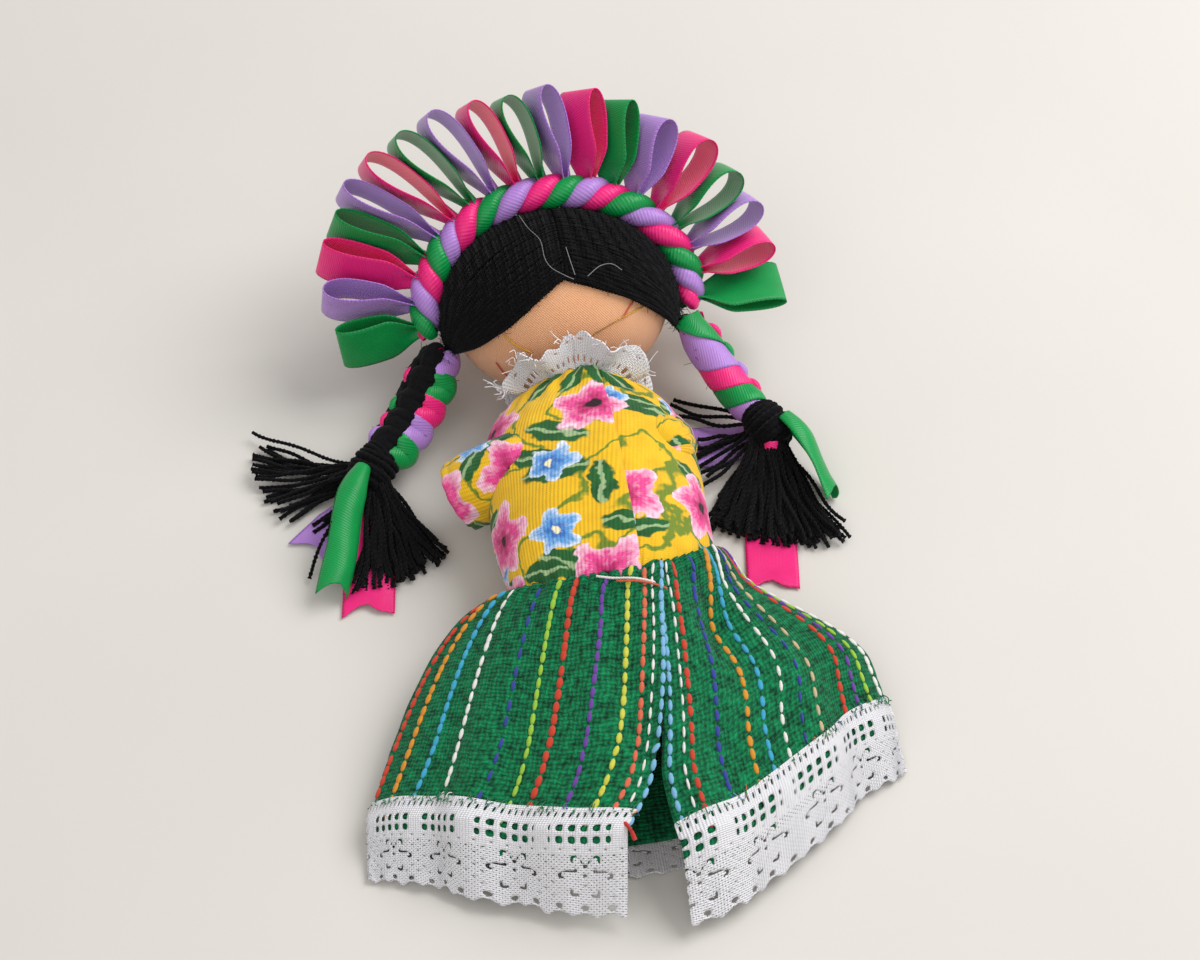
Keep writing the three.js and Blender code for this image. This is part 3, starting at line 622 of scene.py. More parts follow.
def hair_strand(word, along, layer):
    """One strand, from the parting over the side of the head into the root of the braid."""
    side = SIDES[word]
    angle = PARTING_FRONT + (PARTING_BACK - PARTING_FRONT) * along
    start = np.array([0, math.cos(angle), math.sin(angle)])
    root = np.array([
        side * math.cos(ROOT_DROP) * math.cos(ROOT_TURN),
        -math.sin(ROOT_DROP),
        math.cos(ROOT_DROP) * math.sin(ROOT_TURN),
    ])
    sweep = math.acos(float(start @ root))
    share = np.linspace(0, ROOT_REACH, STRAND_POINTS)
    of_start, of_root = np.sin((1 - share) * sweep)[:, None], np.sin(share * sweep)[:, None]
    line = (of_start * start + of_root * root) / math.sin(sweep)
    line[:, 1] -= LOBE_DROOP[word] * along ** 2 * np.sin(np.pi * share)
    wave = STRAND_WAVE * np.sin(TAU * (1.7 * share + draw.random()))
    line += unit(np.cross(start, root)) * wave[:, None]
    stand = HAIR_RADIUS * (1 + 1.6 * layer) + 0.3 * MM * draw.random() + 1.4 * MM * share ** 3
    points = on_head(unit(line), stand)
    points[:, 0] += side * 0.05 * MM * (1 - share)
    points = in_head(points)
    goal = joint_place[f"{word}_braid_lift"] + draw.normal(size=3) * ROOT_SPREAD
    turn = points[-1] + unit(points[-1] - points[-2]) * TUCK_TURN
    t = np.linspace(0, 1, TUCK_POINTS)[1:, None]
    tuck = (1 - t) ** 2 * points[-1] + 2 * t * (1 - t) * turn + t ** 2 * goal
    return np.concatenate([points, tuck])


def short_end(start, middle, tip, count):
    """A short cut end of yarn or thread through three places, clear of the table."""
    return above_table(smooth_path([start, middle, tip], count))


def fibres(lines, count, centre, longest):
    """Short fibres that stand off yarn: each starts on one of the lines and bends away from centre."""
    made = []
    for _ in range(count):
        line = lines[draw.integers(len(lines))]
        start = line[draw.integers(1, len(line) - 4)]
        way = unit(0.5 * unit(start - centre) + unit(draw.normal(size=3)))
        reach = longest * (0.4 + 0.6 * draw.random())
        middle = start + way * reach * 0.5
        tip = middle + unit(way + 0.9 * unit(draw.normal(size=3))) * reach * 0.5
        made.append(short_end(start, middle, tip, FIBRE_POINTS))
    return made


for word in SIDES:
    strands = []
    for layer in (0, 1):
        for k in range(STRANDS - layer):
            along = (k + 0.5 * layer + 0.3 * (draw.random() - 0.5)) / (STRANDS - 1)
            strands.append(hair_strand(word, float(np.clip(along, 0, 1)), layer))
    tapered = HAIR_RADIUS * (1 - 0.3 * np.linspace(0, 1, len(strands[0])) ** 3)
    half = yarn(f"{word}_hair_yarn", strands, [tapered] * len(strands), wool, pitch=2.2 * MM, sides=6)
    settle(half, "head", wool, "black_yarn", f"{word}_hair")
    fuzz_lines = fibres(strands, HAIR_FIBRES, head_centre, HAIR_FIBRE_LENGTH)
    fuzz = yarn(f"{word}_hair_fuzz", fuzz_lines, FIBRE_RADIUS, wool, depth=0.0, sides=4)
    settle(fuzz, "head", wool, "black_yarn")

# Loose ends: a few fine pale sewing threads left on the hair.
# They lie curled on the yarn near the parting.
HAIR_STAND = 3.0 * MM
LOOSE_POINTS = 40
LOOSE_LINES = [
    [(-7.3, 21.3), (-6.1, 18.4), (-4.1, 15.6), (-3.8, 11.7), (-2.6, 9.4), (0.2, 7.4), (1.8, 6.5)],
    [(1.2, 13.5), (1.6, 10.7), (2.2, 7.4)],
    [(5, 6.8), (8, 8.6), (10.8, 8.7), (12.9, 7.1)],
]
pale_thread = thread_finish("pale_thread", "#8f8f94")
loose_lines = [head_line(spots, HAIR_STAND, LOOSE_POINTS, padding=HAIR_STAND) for spots in LOOSE_LINES]
loose_threads = yarn("loose_threads", loose_lines, 0.08 * MM, pale_thread, plies=2, depth=0.05, sides=5)
settle(loose_threads, "head", pale_thread, "black_yarn")

# Crown band: green, pink and purple satin ribbon folded small and laid round each other like a rope, sewn
# to the hair over the head from ear to ear. Each ribbon is its own piece.
RIBBON_DYES = {
    "green": ("#13a150", "#086a33"),
    "purple": ("#be93de", "#9360b9"),
    "pink": ("#fb308a", "#d01861"),
}
RIBBON_WIDTH = 11.5 * MM
RIB_PITCH = 0.55 * MM
PICOT_PITCH = 0.95 * MM
CROWN_STAND = 5.3 * MM
CROWN_END = math.radians(9)
ROPE_RADIUS = 2.0 * MM
ROPE_LAY = 16.4 * MM
ROPE_SWAY = 0.4
ROPE_SWAY_LAYS = 2.3
ROPE_HALF_WIDTH = 1.85 * MM
ROPE_HALF_THICK = 1.9 * MM
ROPE_POINTS = 420
ROPE_TAPER = 2.5 * MM
LUMP_PITCH = 23 * MM
CREASE = 0.09


def satin(name, bright, deep):
    """Woven satin: fine ribs across the ribbon, soft gloss, and a row of small picots along each edge."""
    paint = Paint(name)
    along, across = paint.cloth()
    ribs = (along + across * 0.35).wave(RIB_PITCH)
    uneven = paint.noise(160.0, 2.0)
    # Colour: uneven dye at random, and painted shade in the grooves between the ribs.
    colours = paint.mix((ribs * 0.13 + uneven * 0.5 + 0.42).within(), dye(deep), dye(bright))
    rim = ((across.of("ABSOLUTE") - 0.45 * RIBBON_WIDTH) / (0.2 * MM)).within()
    picots = rim * (along.wave(PICOT_PITCH) * 0.5 + 0.5)
    return paint.shade(
        Base_Color=paint.mix(picots * 0.6, colours, dye(deep)),
        Roughness=0.3,
        Specular_IOR_Level=0.28,
        Normal=paint.bump(ribs + picots * 1.5, 0.05 * MM, 0.5),
    )


ribbon_finish = {colour: satin(f"{colour}_satin", *dyes) for colour, dyes in RIBBON_DYES.items()}


def settle_ribbon(piece, body, colour, *nodes):
    """Gives a finished piece of ribbon its satin and its place."""
    settle(piece, body, ribbon_finish[colour], f"{colour}_ribbon", *nodes)


def folded_ribbon(name, path, face, half_width, half_thick, sides=28):
    """A ribbon folded into a soft creased band along a path, with its broad side towards face."""
    ahead = unit(np.gradient(path, axis=0))
    across = unit(np.cross(ahead, face))
    out = np.cross(across, ahead)
    angles = np.linspace(0, TAU, sides, endpoint=False)[:, None]
    crease = 1 + CREASE * np.abs(np.sin(1.5 * angles + 0.4))
    wide = np.sign(np.cos(angles)) * np.abs(np.cos(angles)) ** 0.95 * half_width * crease
    high = np.sin(angles) * half_thick * crease
    points = path + wide[..., None] * across + high[..., None] * out
    lengths = np.linspace(-2, 2, sides + 1) * float(np.max(half_width))
    ribbon_map = cloth_map(lengths, run_of(path))[..., ::-1]
    return surface(name, points, ribbon_map, round_rows=True, closed=True)


def at_run(places, run, values):
    """What a line's values are at these lengths from its start."""
    return np.stack([np.interp(places, run, values[:, axis]) for axis in range(3)], axis=-1)


crown_radii = HEAD_RADII + CROWN_STAND
fine = np.linspace(np.pi + CROWN_END, -CROWN_END, 2000)
fine_arc = np.column_stack([
    crown_radii[0] * np.cos(fine), crown_radii[1] * np.sin(fine), np.zeros_like(fine),
])
fine_run = run_of(fine_arc)
crown_length = float(fine_run[-1])


def crown_spot(distance):
    """Places on the crown's arc, and the directions outward from it, in the head's own frame."""
    ahead = unit(at_run(distance, fine_run, np.gradient(fine_arc, axis=0)))
    return at_run(distance, fine_run, fine_arc), np.cross(UP, ahead)


rope_run = np.linspace(0, crown_length, ROPE_POINTS)
rope_places, rope_out = crown_spot(rope_run)
rope_ends = 1 - 0.5 * np.exp(-np.minimum(rope_run, crown_length - rope_run) / ROPE_TAPER)
rope_sway = ROPE_SWAY * np.sin(TAU * rope_run / (ROPE_SWAY_LAYS * ROPE_LAY))
for k, colour in enumerate(("pink", "green", "purple")):
    phase = TAU * k / 3 - TAU * rope_run / ROPE_LAY + rope_sway
    radial = rope_out * np.cos(phase)[:, None] + UP * np.sin(phase)[:, None]
    path = in_head(rope_places + radial * (ROPE_RADIUS * rope_ends)[:, None])
    lump = rope_ends * (1 + 0.2 * np.sin(phase) + 0.08 * np.sin(TAU * rope_run / LUMP_PITCH + 2 * k))
    half_width, half_thick = ROPE_HALF_WIDTH * lump, ROPE_HALF_THICK * lump
    strand = folded_ribbon(f"crown_plait_{colour}", path, radial @ head_turn.T, half_width, half_thick)
    settle_ribbon(strand, "head", colour, *(["crown_plait"] if k == 0 else []))

# Ribbon loops: lengths of the same ribbon, each folded into a standing loop and caught in the band by
# both ends. They fan out from ear to ear, each turned a little on its own axis.
RIBBON_THICK = 0.22 * MM
LOOP_POINTS, LOOP_COLUMNS = 84, 13
LOOP_BELLY = 7.5 * MM
LEAST_BELLY = 2 * MM
LOOP_BOW = 0.2 * MM
LOOP_CLEAR = 0.25 * MM
LOOP_FULLEST = 0.7
LOOP_PEAK = 1.3
LOOP_FOOT = 0.35 * MM
LOOP_TWIST = 8
LOOP_PLEAT = 1.1 * MM
LOOP_GATHER = 0.28
LOOP_STAND = 0.8 * MM
LOOP_SPARE = 1.6
# For each loop: colour, direction from the doll's right, length in millimetres, and turn on its own axis
LOOPS = [
    ("green", 187, 18, 48), ("purple", 170, 21, 26), ("pink", 160, 23, 38), ("green", 154, 23, 30),
    ("purple", 148, 25, 19), ("pink", 141, 25, 14), ("green", 134, 24, 12), ("purple", 126, 24, 12),
    ("pink", 117, 22, 13), ("green", 110, 21, 11), ("purple", 101, 22, 17), ("pink", 90, 21, 32),
    ("green", 82, 20, 37), ("purple", 68, 19, 27), ("pink", 51, 20, 20), ("green", 37, 19, 13),
    ("purple", 28, 19, 13), ("pink", 17, 18, 20), ("green", 1, 19, 45),
]


def smoothstep(value):
    """A smooth rise from 0 to 1."""
    held = np.clip(value, 0, 1)
    return held * held * (3 - 2 * held)


def loop_ways(degrees, turn):
    """A loop's own directions: along it, across its ribbon, and out of its ribbon's plane."""
    angle, twist = math.radians(degrees), np.radians(turn)[..., None]
    clockwise = np.array([math.sin(angle), -math.cos(angle), 0])
    wide_way = UP * np.cos(twist) + clockwise * np.sin(twist)
    side_way = clockwise * np.cos(twist) - UP * np.sin(twist)
    return np.array([math.cos(angle), math.sin(angle), 0]), wide_way, side_way


def ribbon_loop(name, base, degrees, length, turn, belly):
    """One standing loop, pleated at its foot, and its ribbon's length."""
    share = np.linspace(0, 1, LOOP_POINTS)
    bend = TAU * share
    along = length * (1 - np.cos(bend)) / 2
    swing = belly / LOOP_PEAK * np.sin(bend) * (1 - np.cos(bend)) / 2 + LOOP_FOOT * np.cos(np.pi * share)
    twist = turn + LOOP_TWIST * (share - 0.5) * smoothstep(along / (0.6 * length))
    ahead, wide_way, side_way = loop_ways(degrees, twist)
    middle = base + ahead * along[:, None] + side_way * swing[:, None]
    gathered = (LOOP_GATHER + (1 - LOOP_GATHER) * smoothstep(along / (0.45 * length)))[:, None]
    across = np.linspace(-0.5, 0.5, LOOP_COLUMNS)
    pleat = LOOP_PLEAT * (1 - gathered) * np.cos(TAU * across)
    bow = LOOP_BOW * gathered * np.cos(np.pi * across) * np.sign(np.sin(bend))[:, None]
    points = (
        middle[:, None]
        + wide_way[:, None] * (across * RIBBON_WIDTH * gathered)[..., None]
        + side_way[:, None] * (pleat + bow)[..., None]
    )
    lengths = run_of(middle)
    piece = surface(name, in_head(points), cloth_map(lengths, across * RIBBON_WIDTH))
    return thicken(piece, RIBBON_THICK), float(lengths[-1])


loop_spots, loop_outward = crown_spot((np.arange(len(LOOPS)) + 0.5) / len(LOOPS) * crown_length)
loop_bases = loop_spots + loop_outward * LOOP_STAND
loop_fullest = [
    base + loop_ways(degrees, np.array(turn))[0] * LOOP_FULLEST * length * MM
    for base, (_, degrees, length, turn) in zip(loop_bases, LOOPS)
]
for number, (colour, degrees, length, turn) in enumerate(LOOPS):
    side_way = loop_ways(degrees, np.array(turn))[2]
    belly = LOOP_BELLY
    for other in (number - 1, number + 1):
        if 0 <= other < len(LOOPS):
            gap = abs(float((loop_fullest[other] - loop_fullest[number]) @ side_way))
            slant = RIBBON_WIDTH / 2 * abs(math.sin(math.radians(LOOPS[other][3] - turn)))
            belly = min(belly, max(gap - slant - 2 * LOOP_BOW - LOOP_CLEAR, LEAST_BELLY))
    name = f"{colour}_loop_{number + 1:02d}"
    base, reach = loop_bases[number], (length + LOOP_SPARE) * MM
    loop, loop_length = ribbon_loop(name, base, degrees, reach, turn, belly)
    settle_ribbon(loop, "head", colour, f"ribbon_loop_{number + 1:02d}_{colour}")

# Braids: thick strands of the hair's yarn, plaited with the crown's ribbons from each ear out over the table.
# On the left one the yarn shows beside the ribbons, and the right one is wound in ribbon all the way.
BRAID_ROUTES = {
    "left": [(0.6, 1.4, 0.7), (0, 0, 0), (-4.2, -5.9, -4.4), (-9, -12, -7.3), (-13.9, -17.4, -8.7)],
    "right": [(-0.6, 3, 1.6), (0.2, 0, 0), (4, -6, -4.8), (7.7, -12.6, -8), (11, -18.4, -8.9)],
}
BRAID_POINTS, BRAID_END_POINTS = 170, 20
BRAID_END_MM = 3
BRAID_SWELL = 6 * MM
BRAID_TAPER = 5 * MM
BRAID_PERIOD = 17 * MM
BRAID_COLUMNS = 17
BRAID_FIBRES = 60
BRAID_FIBRE_LENGTH = 6 * MM
# For each braid: how far its strands swing sideways and over each other, and how thick they are
BRAID_SWAY = {"left": 3.1 * MM, "right": 1.3 * MM}
BRAID_OVER = {"left": 1.7 * MM, "right": 1.3 * MM}
CORE_RADIUS = {"left": 3.0 * MM, "right": 1.9 * MM}
RIBBON_SHOWS = 1.15
RIBBON_LEAN, RIBBON_LEAN_MORE = -50, 92
RIBBON_STAND = 0.4 * MM
HALF_WRAP = 1.95
WOUND_RADIUS = 3.9 * MM
WOUND_START = 0.35
WOUND_TIP = 0.3 * MM
RIGHT_WARP = 0.65
RIBBON_ORDER = {"left": ("pink", "green", "purple"), "right": ("purple", "green", "pink")}
# Folds of ribbon that show along one edge of each braid: colour and place from its root in millimetres
EDGE_FOLDS = {
    "left": [("pink", 4.5), ("green", 12), ("pink", 16.5), ("purple", 21)],
    "right": [("pink", 4), ("green", 9), ("purple", 14.4), ("pink", 19.4)],
}
EDGE_SIDE = {"left": 4.3 * MM, "right": -4.1 * MM}
FOLD_POINTS = 24
FOLD_LENGTH = 5.2 * MM
FOLD_HALF_WIDTH = 1.9 * MM
FOLD_HALF_THICK = 1.2 * MM
FOLD_RISE = 0.6 * MM
FOLD_UP_POINT = 100


def laid_ribbon(path, narrow, sideways, flat_way, up_way):
    """A ribbon over one strand of the plait: its points, its lengths, its widths and how wide it is cut."""
    lean = np.radians(RIBBON_LEAN + RIBBON_LEAN_MORE * smoothstep(0.2 - sideways))[:, None]
    facing = up_way * np.sin(lean) - flat_way * np.cos(lean)
    along = unit(np.gradient(path, axis=0))
    out = unit(facing - along * (facing * along).sum(axis=1)[:, None])
    other = np.cross(along, out)
    bend = np.linspace(-HALF_WRAP, HALF_WRAP, BRAID_COLUMNS)
    tucked = smoothstep((np.abs(bend) - RIBBON_SHOWS) / 0.2)
    core = (CORE_RADIUS["left"] * narrow)[:, None]
    sunk = smoothstep((sideways + 0.5) / 0.35)[:, None]
    reach = core * (1 - 0.25 * tucked) + RIBBON_STAND - (RIBBON_STAND + 0.2 * core) * sunk
    wrap = out[:, None] * np.cos(bend)[:, None] + other[:, None] * np.sin(bend)[:, None]
    points = path[:, None] + wrap * reach[..., None]
    return points, run_of(path), bend * RIBBON_WIDTH / (2 * HALF_WRAP), np.full(len(path), RIBBON_WIDTH)


def wound_ribbon(route, run, narrow, out):
    """A ribbon wound round the braid, each turn over the last: what laid_ribbon gives."""
    step = np.linspace(-1, 1, BRAID_COLUMNS)
    half = np.minimum(RIBBON_WIDTH / 2, np.minimum(run, run[-1] - run) + WOUND_TIP)
    places = run[:, None] + half[:, None] * step
    lap = (0.1 + 0.45 * step - 0.2 * smoothstep((step - 0.7) / 0.3)) * MM
    reach = WOUND_RADIUS * np.interp(places, run, narrow) + lap
    points = at_run(places, run, route) + out[:, None] * reach[..., None]
    return points, run_of(points[:, BRAID_COLUMNS // 2]), step * RIBBON_WIDTH / 2, 2 * half


braid_ends = {}
for word in SIDES:
    body = f"{word}_braid"
    route = smooth_path(np.array(BRAID_ROUTES[word]) * MM, BRAID_POINTS)
    end = route[-1] + unit(np.gradient(route, axis=0))[-1] * BRAID_END_MM * MM
    route = np.concatenate([route, np.linspace(route[-1], end, BRAID_END_POINTS)[1:]])
    route = route + joint_place[f"{word}_braid_lift"]
    ahead = unit(np.gradient(route, axis=0))
    braid_ends[word] = (route[-1] - ahead[-1] * BRAID_END_MM * MM, ahead[-1])
    flat_way, up_way = side_and_up(ahead)
    run = run_of(route)
    grow = np.clip(run / BRAID_SWELL, 0, 1)
    taper = np.clip((run - run[-1] + BRAID_TAPER) / BRAID_TAPER, 0, 1)
    narrow = (0.75 + 0.25 * grow) * (1 - 0.35 * taper)
    cores = []
    for k, colour in enumerate(RIBBON_ORDER[word]):
        phase = TAU * run / BRAID_PERIOD + TAU * k / 3
        if word == "left":
            sideways, upward = np.sin(phase), np.cos(2 * phase)
        else:
            lead = phase - TAU / 3 + WOUND_START
            wound = lead - RIGHT_WARP * np.cos(lead)
            sideways, upward = np.cos(wound), np.sin(wound)
        aside = flat_way * (BRAID_SWAY[word] * sideways)[:, None]
        over = up_way * (BRAID_OVER[word] * upward)[:, None]
        path = route + (aside + over) * narrow[:, None]
        cores.append(path)
        if word == "left":
            points, lengths, widths, cut = laid_ribbon(path, narrow, sideways, flat_way, up_way)
        else:
            out = flat_way * sideways[:, None] + up_way * upward[:, None]
            points, lengths, widths, cut = wound_ribbon(route, run, narrow, out)
        band = surface(f"{word}_braid_{colour}", points, cloth_map(lengths, widths))
        thicken(band, RIBBON_THICK)
        settle_ribbon(band, body, colour)
        cut_area = float(((cut[1:] + cut[:-1]) / 2 * np.diff(lengths)).sum())
    swell = np.sin(np.pi * np.linspace(0.03, 0.97, FOLD_POINTS)) ** 0.6
    for number, (colour, place) in enumerate(EDGE_FOLDS[word]):
        steps = np.linspace(0, FOLD_LENGTH, FOLD_POINTS) + place * MM
        edge = at_run(steps, run, flat_way)
        aside = edge * (EDGE_SIDE[word] * (0.62 + 0.38 * swell))[:, None]
        line = at_run(steps, run, route) + aside + up_way[FOLD_UP_POINT] * FOLD_RISE
        name = f"{word}_braid_fold_{number + 1}"
        fold = folded_ribbon(name, line, edge, FOLD_HALF_WIDTH * swell, FOLD_HALF_THICK * swell)
        settle_ribbon(fold, body, colour)
    fuzz = fibres(cores, BRAID_FIBRES, route[len(route) // 2], BRAID_FIBRE_LENGTH)
    radii = [CORE_RADIUS[word] * narrow] * len(cores) + [np.full(FIBRE_POINTS, FIBRE_RADIUS)] * len(fuzz)
    core = yarn(f"{word}_braid_yarn", cores + fuzz, radii, wool, plies=6, depth=0.04, pitch=15 * MM, sides=30)
    settle(core, body, wool, "black_yarn", f"{word}_braid")

# Knots: the braid's own yarn wound round its end and tied.
# A hidden core of the same yarn fills each winding.
KNOT_LENGTH = 9 * MM
KNOT_RADIUS = 5.2 * MM
KNOT_TURNS = 5.4
KNOT_MARGIN = 0.6 * MM
KNOT_WALL = 1.1 * MM
KNOT_SPARE = 1.5 * MM
WIND_RADIUS = 0.75 * MM
WIND_POINTS, FILL_POINTS = 300, 24
# For each winding: how far it slants in millimetres, its first angle, and how far in it lies in millimetres
WINDINGS = [(0.9, 0.0, 0.0), (-1.3, 2.0, 0.4)]
turns = np.linspace(0, 1, WIND_POINTS)
for word, (start, ahead) in braid_ends.items():
    side_way, up_way = side_and_up(ahead)
    coils = []
    for tilt, first, shift in WINDINGS:
        barrel = (KNOT_RADIUS - WIND_RADIUS - shift * MM) * (0.76 + 0.24 * np.sin(np.pi * turns) ** 0.6)
        angle = first + TAU * KNOT_TURNS * turns + 0.5 * np.sin(9 * turns)
        slant = tilt * MM * np.sin(angle + 0.6) + 0.3 * MM * np.sin(angle * 0.37)
        coils.append(
            start
            + ahead * (KNOT_MARGIN + (KNOT_LENGTH - 2 * KNOT_MARGIN) * turns + slant)[:, None]
            + side_way * (barrel * np.cos(angle))[:, None]
            + up_way * (barrel * np.sin(angle))[:, None]
        )
    middle = start + ahead * np.linspace(-KNOT_SPARE, KNOT_LENGTH + KNOT_SPARE, FILL_POINTS)[:, None]
    fill = (KNOT_RADIUS - KNOT_WALL) * np.sin(np.pi * np.linspace(0.04, 0.96, FILL_POINTS)) ** 0.35
    radii = [np.full(WIND_POINTS, WIND_RADIUS)] * len(coils) + [fill]
    winding = yarn(f"{word}_knot_yarn", coils + [middle], radii, wool, depth=0.1)
    settle(winding, f"{word}_braid", wool, "black_yarn", f"{word}_knot")

# Tassels: the loose ends of the braid's yarn, cut off below the knot and fanned out over the table.
# The left one has fallen into two bundles, and the right one hangs in one with a few stray ends.
TASSEL_RADIUS = 0.5 * MM
TASSEL_SPREAD = {"left": 5 * MM, "right": 9 * MM}
TASSEL_START = 2.6 * MM
TASSEL_POINTS = 30
# For each bundle: first and last direction in degrees, strands, and reach in millimetres at each end of it
BUNDLES = {
    "left": [(140, 205, 30, 32, 23), (206, 246, 7, 21, 17), (250, 306, 80, 31, 27)],
    "right": [(228, 296, 140, 27, 33), (143, 150, 3, 25, 24), (174, 222, 9, 18, 22)],
}
# One end of the left tassel lies over its green tail
OVER_TAIL = [(-1.5, -4, 10.8), (-5, -9, 12.4), (-9.5, -15.5, 11.4), (-14, -20, 6.8), (-17, -24, 1.4)]


def tassel_strand(start, mean, bearing, reach, rest):
    """One yarn end: out of the knot with its neighbours, then down to the table and off its own way."""
    steps = np.linspace(0, 1, TASSEL_POINTS)
    bend = 0.16 * np.sin(TAU * (1.2 * steps + draw.random()))
    turn = mean + (bearing - mean) * (0.35 + 0.8 * steps ** 0.7) + bend
    stride = np.column_stack([np.cos(turn), np.sin(turn)]) * reach / (len(steps) - 1)
    sag = 0.3 * MM * np.sin(TAU * (1.5 * steps + draw.random()))
    height = rest + (start[2] - rest) * (1 - steps) ** 1.5 + sag
    line = np.column_stack([start[:2] + np.cumsum(stride, axis=0) - stride[0], height])
    return above_table(line, TASSEL_RADIUS + TABLE_CLEAR)


knot_hubs = {}
for word, (start, ahead) in braid_ends.items():
    hub = start + ahead * KNOT_LENGTH / 2
    knot_hubs[word] = hub * [1, 1, 0]
    strands = []
    for first, last, count, near, far in BUNDLES[word]:
        mean = math.radians((first + last) / 2)
        out = np.array([math.cos(mean), math.sin(mean), 0])
        for k in range(count):
            share = (k + draw.random()) / count
            bearing = math.radians(first + (last - first) * share)
            spread = TASSEL_SPREAD[word] * (0.5 - share) * (0.4 + 0.6 * draw.random())
            spot = hub + out * TASSEL_START + np.cross(out, UP) * spread
            spot[2] = (2.0 + 6.6 * draw.random()) * MM
            reach = (near + (far - near) * share) * (0.78 + 0.22 * draw.random() ** 0.5) * MM - TASSEL_START
            rest = TABLE_CLEAR + TASSEL_RADIUS + 2.4 * MM * draw.random() ** 1.6
            strands.append(tassel_strand(spot, mean, bearing, reach, rest))
    if word == "left":
        strands.append(smooth_path(np.array(OVER_TAIL) * MM + knot_hubs[word], TASSEL_POINTS))
    name = f"{word}_tassel_yarn"
    tassel = yarn(name, strands, TASSEL_RADIUS, wool, plies=2, depth=0.14, pitch=2.6 * MM, sides=8)
    settle(tassel, f"{word}_braid", wool, "black_yarn", f"{word}_tassel")

# Ribbon tails: the ends of the plaited ribbons, coming out of each knot over or under the tassel.
# Each end is cut to a notch, and the ribbon keeps some of the curl that the plait gave it.
TAILS = {
    "left": {
        "green": [
            (-3.2, -2.6, 10.4), (-5.4, -7.4, 10.4), (-7.6, -14, 9), (-9.8, -22, 5.6),
            (-13, -30.5, 2.4),
        ],
        "purple": [(-4.5, -5.5, 0.6), (-10, -11, 0.6), (-16.5, -17.2, 0.6)],
        "pink": [(-1.2, -7, 1.3), (-3.2, -20, 1.1), (-5.3, -35.5, 0.7)],
    },
    "right": {
        "green": [(2.6, -1.5, 10.2), (5.6, -6.2, 9), (8.4, -12.8, 6.2), (10.6, -20.6, 3.2)],
        "purple": [(-3.5, 0.6, 1.8), (-9, 0.6, 1), (-17.5, 0.8, 0.6)],
        "pink": [(0.4, -3.8, 6.6), (0, -6, 4), (-1, -9, 0.9), (-3, -20, 0.5), (-6.2, -41, 0.5)],
    },
}
# For each tail: half the angle of its curl at the knot and at its end, and how far it is rolled on its side
TAIL_CURLS = {
    "left": {"green": (2.5, 1.5, 0.75), "purple": (0.2, 0.2, 0.0), "pink": (0.3, 0.2, 0.0)},
    "right": {"green": (1.9, 0.9, 1.15), "purple": (0.3, 0.2, 0.0), "pink": (2.2, 0.1, 0.0)},
}
TAIL_POINTS, TAIL_COLUMNS = 64, 15
NOTCH = 2.6 * MM
NOTCH_REACH = 6 * MM
UNCURL = 6 * MM
TAIL_GATHER = 0.72
TAIL_SPREAD = 7 * MM


def tail_points(line, run, share, knot_curl, end_curl, roll):
    """A ribbon end along a line, rolled on its side by roll and curled across its width."""
    ahead = unit(np.gradient(line, axis=0))
    flat_way, up_way = side_and_up(ahead)
    across_way = flat_way * math.cos(roll) + up_way * math.sin(roll)
    rise_way = up_way * math.cos(roll) - flat_way * math.sin(roll)
    late = np.clip((run - run[-1] + NOTCH_REACH) / NOTCH_REACH, 0, 1)[:, None]
    cut = NOTCH * late * (1 - np.abs(share * 2)) + 0.5 * MM * late * np.sin(share * 9)
    narrow = RIBBON_WIDTH * (TAIL_GATHER + (1 - TAIL_GATHER) * np.clip(run / TAIL_SPREAD, 0, 1))[:, None]
    bent = 2 * (end_curl + (knot_curl - end_curl) * np.exp(-run / UNCURL))[:, None]
    sideways = narrow * np.sin(bent * share) / bent
    height = narrow * (np.cos(bent * share) - np.cos(bent / 2)) / bent
    ripple = 0.3 * MM * np.sin(run / (3.1 * MM))[:, None] * np.cos(share * 5)
    points = (
        line[:, None]
        + across_way[:, None] * sideways[..., None]
        + rise_way[:, None] * (height + ripple)[..., None]
        - ahead[:, None] * cut[..., None]
    )
    return above_table(points, TABLE_CLEAR + RIBBON_THICK)


share = np.linspace(-0.5, 0.5, TAIL_COLUMNS)
for word, ribbons in TAILS.items():
    for colour, spots in ribbons.items():
        line = smooth_path(np.array(spots) * MM + knot_hubs[word], TAIL_POINTS)
        run = run_of(line)
        points = tail_points(line, run, share, *TAIL_CURLS[word][colour])
        tail = surface(f"{word}_{colour}_tail", points, cloth_map(run, share * RIBBON_WIDTH))
        thicken(tail, RIBBON_THICK)
        settle_ribbon(tail, f"{word}_braid", colour, f"{word}_tail_{colour}")

# Blouse: yellow printed cotton with a fine rib, cut as one width for the body and gathered into the skirt's
# waist. Its edges lap in a seam down the back, and it is drawn in at the neck under the collar.
BLOUSE_HEM_Y = -27 * MM
BLOUSE_TOP_Y = 34.2 * MM
SHOULDER_START_Y = 10 * MM
NECK_START_Y, NECK_NEXT_Y = 28 * MM, 28.4 * MM
BLOUSE_HALF_WIDTH = 23.2 * MM
BLOUSE_FIT, BLOUSE_DEPTH_FIT = 1.1 * MM, 1.2 * MM
BLOUSE_LEAST_DEPTH = 10.6 * MM
BLOUSE_NECK_HALF_WIDTH = 9.2 * MM
BLOUSE_SHOULDER = 14 * MM
BLOUSE_COLUMNS, BLOUSE_ROWS, BLOUSE_NECK_ROWS = 176, 80, 16
BLOUSE_THICK = 0.5 * MM
GATHER_DEPTH = 0.4 * MM
SEAM_X = 3 * MM
SEAM_START, SEAM_OVERLAP = 0.09, 0.14
SEAM_STAND = 1.5 * MM
PRINT_WAVER = 3.4 * MM
PRINT_RIB, PRINT_THREAD = 0.76 * MM, 0.5 * MM
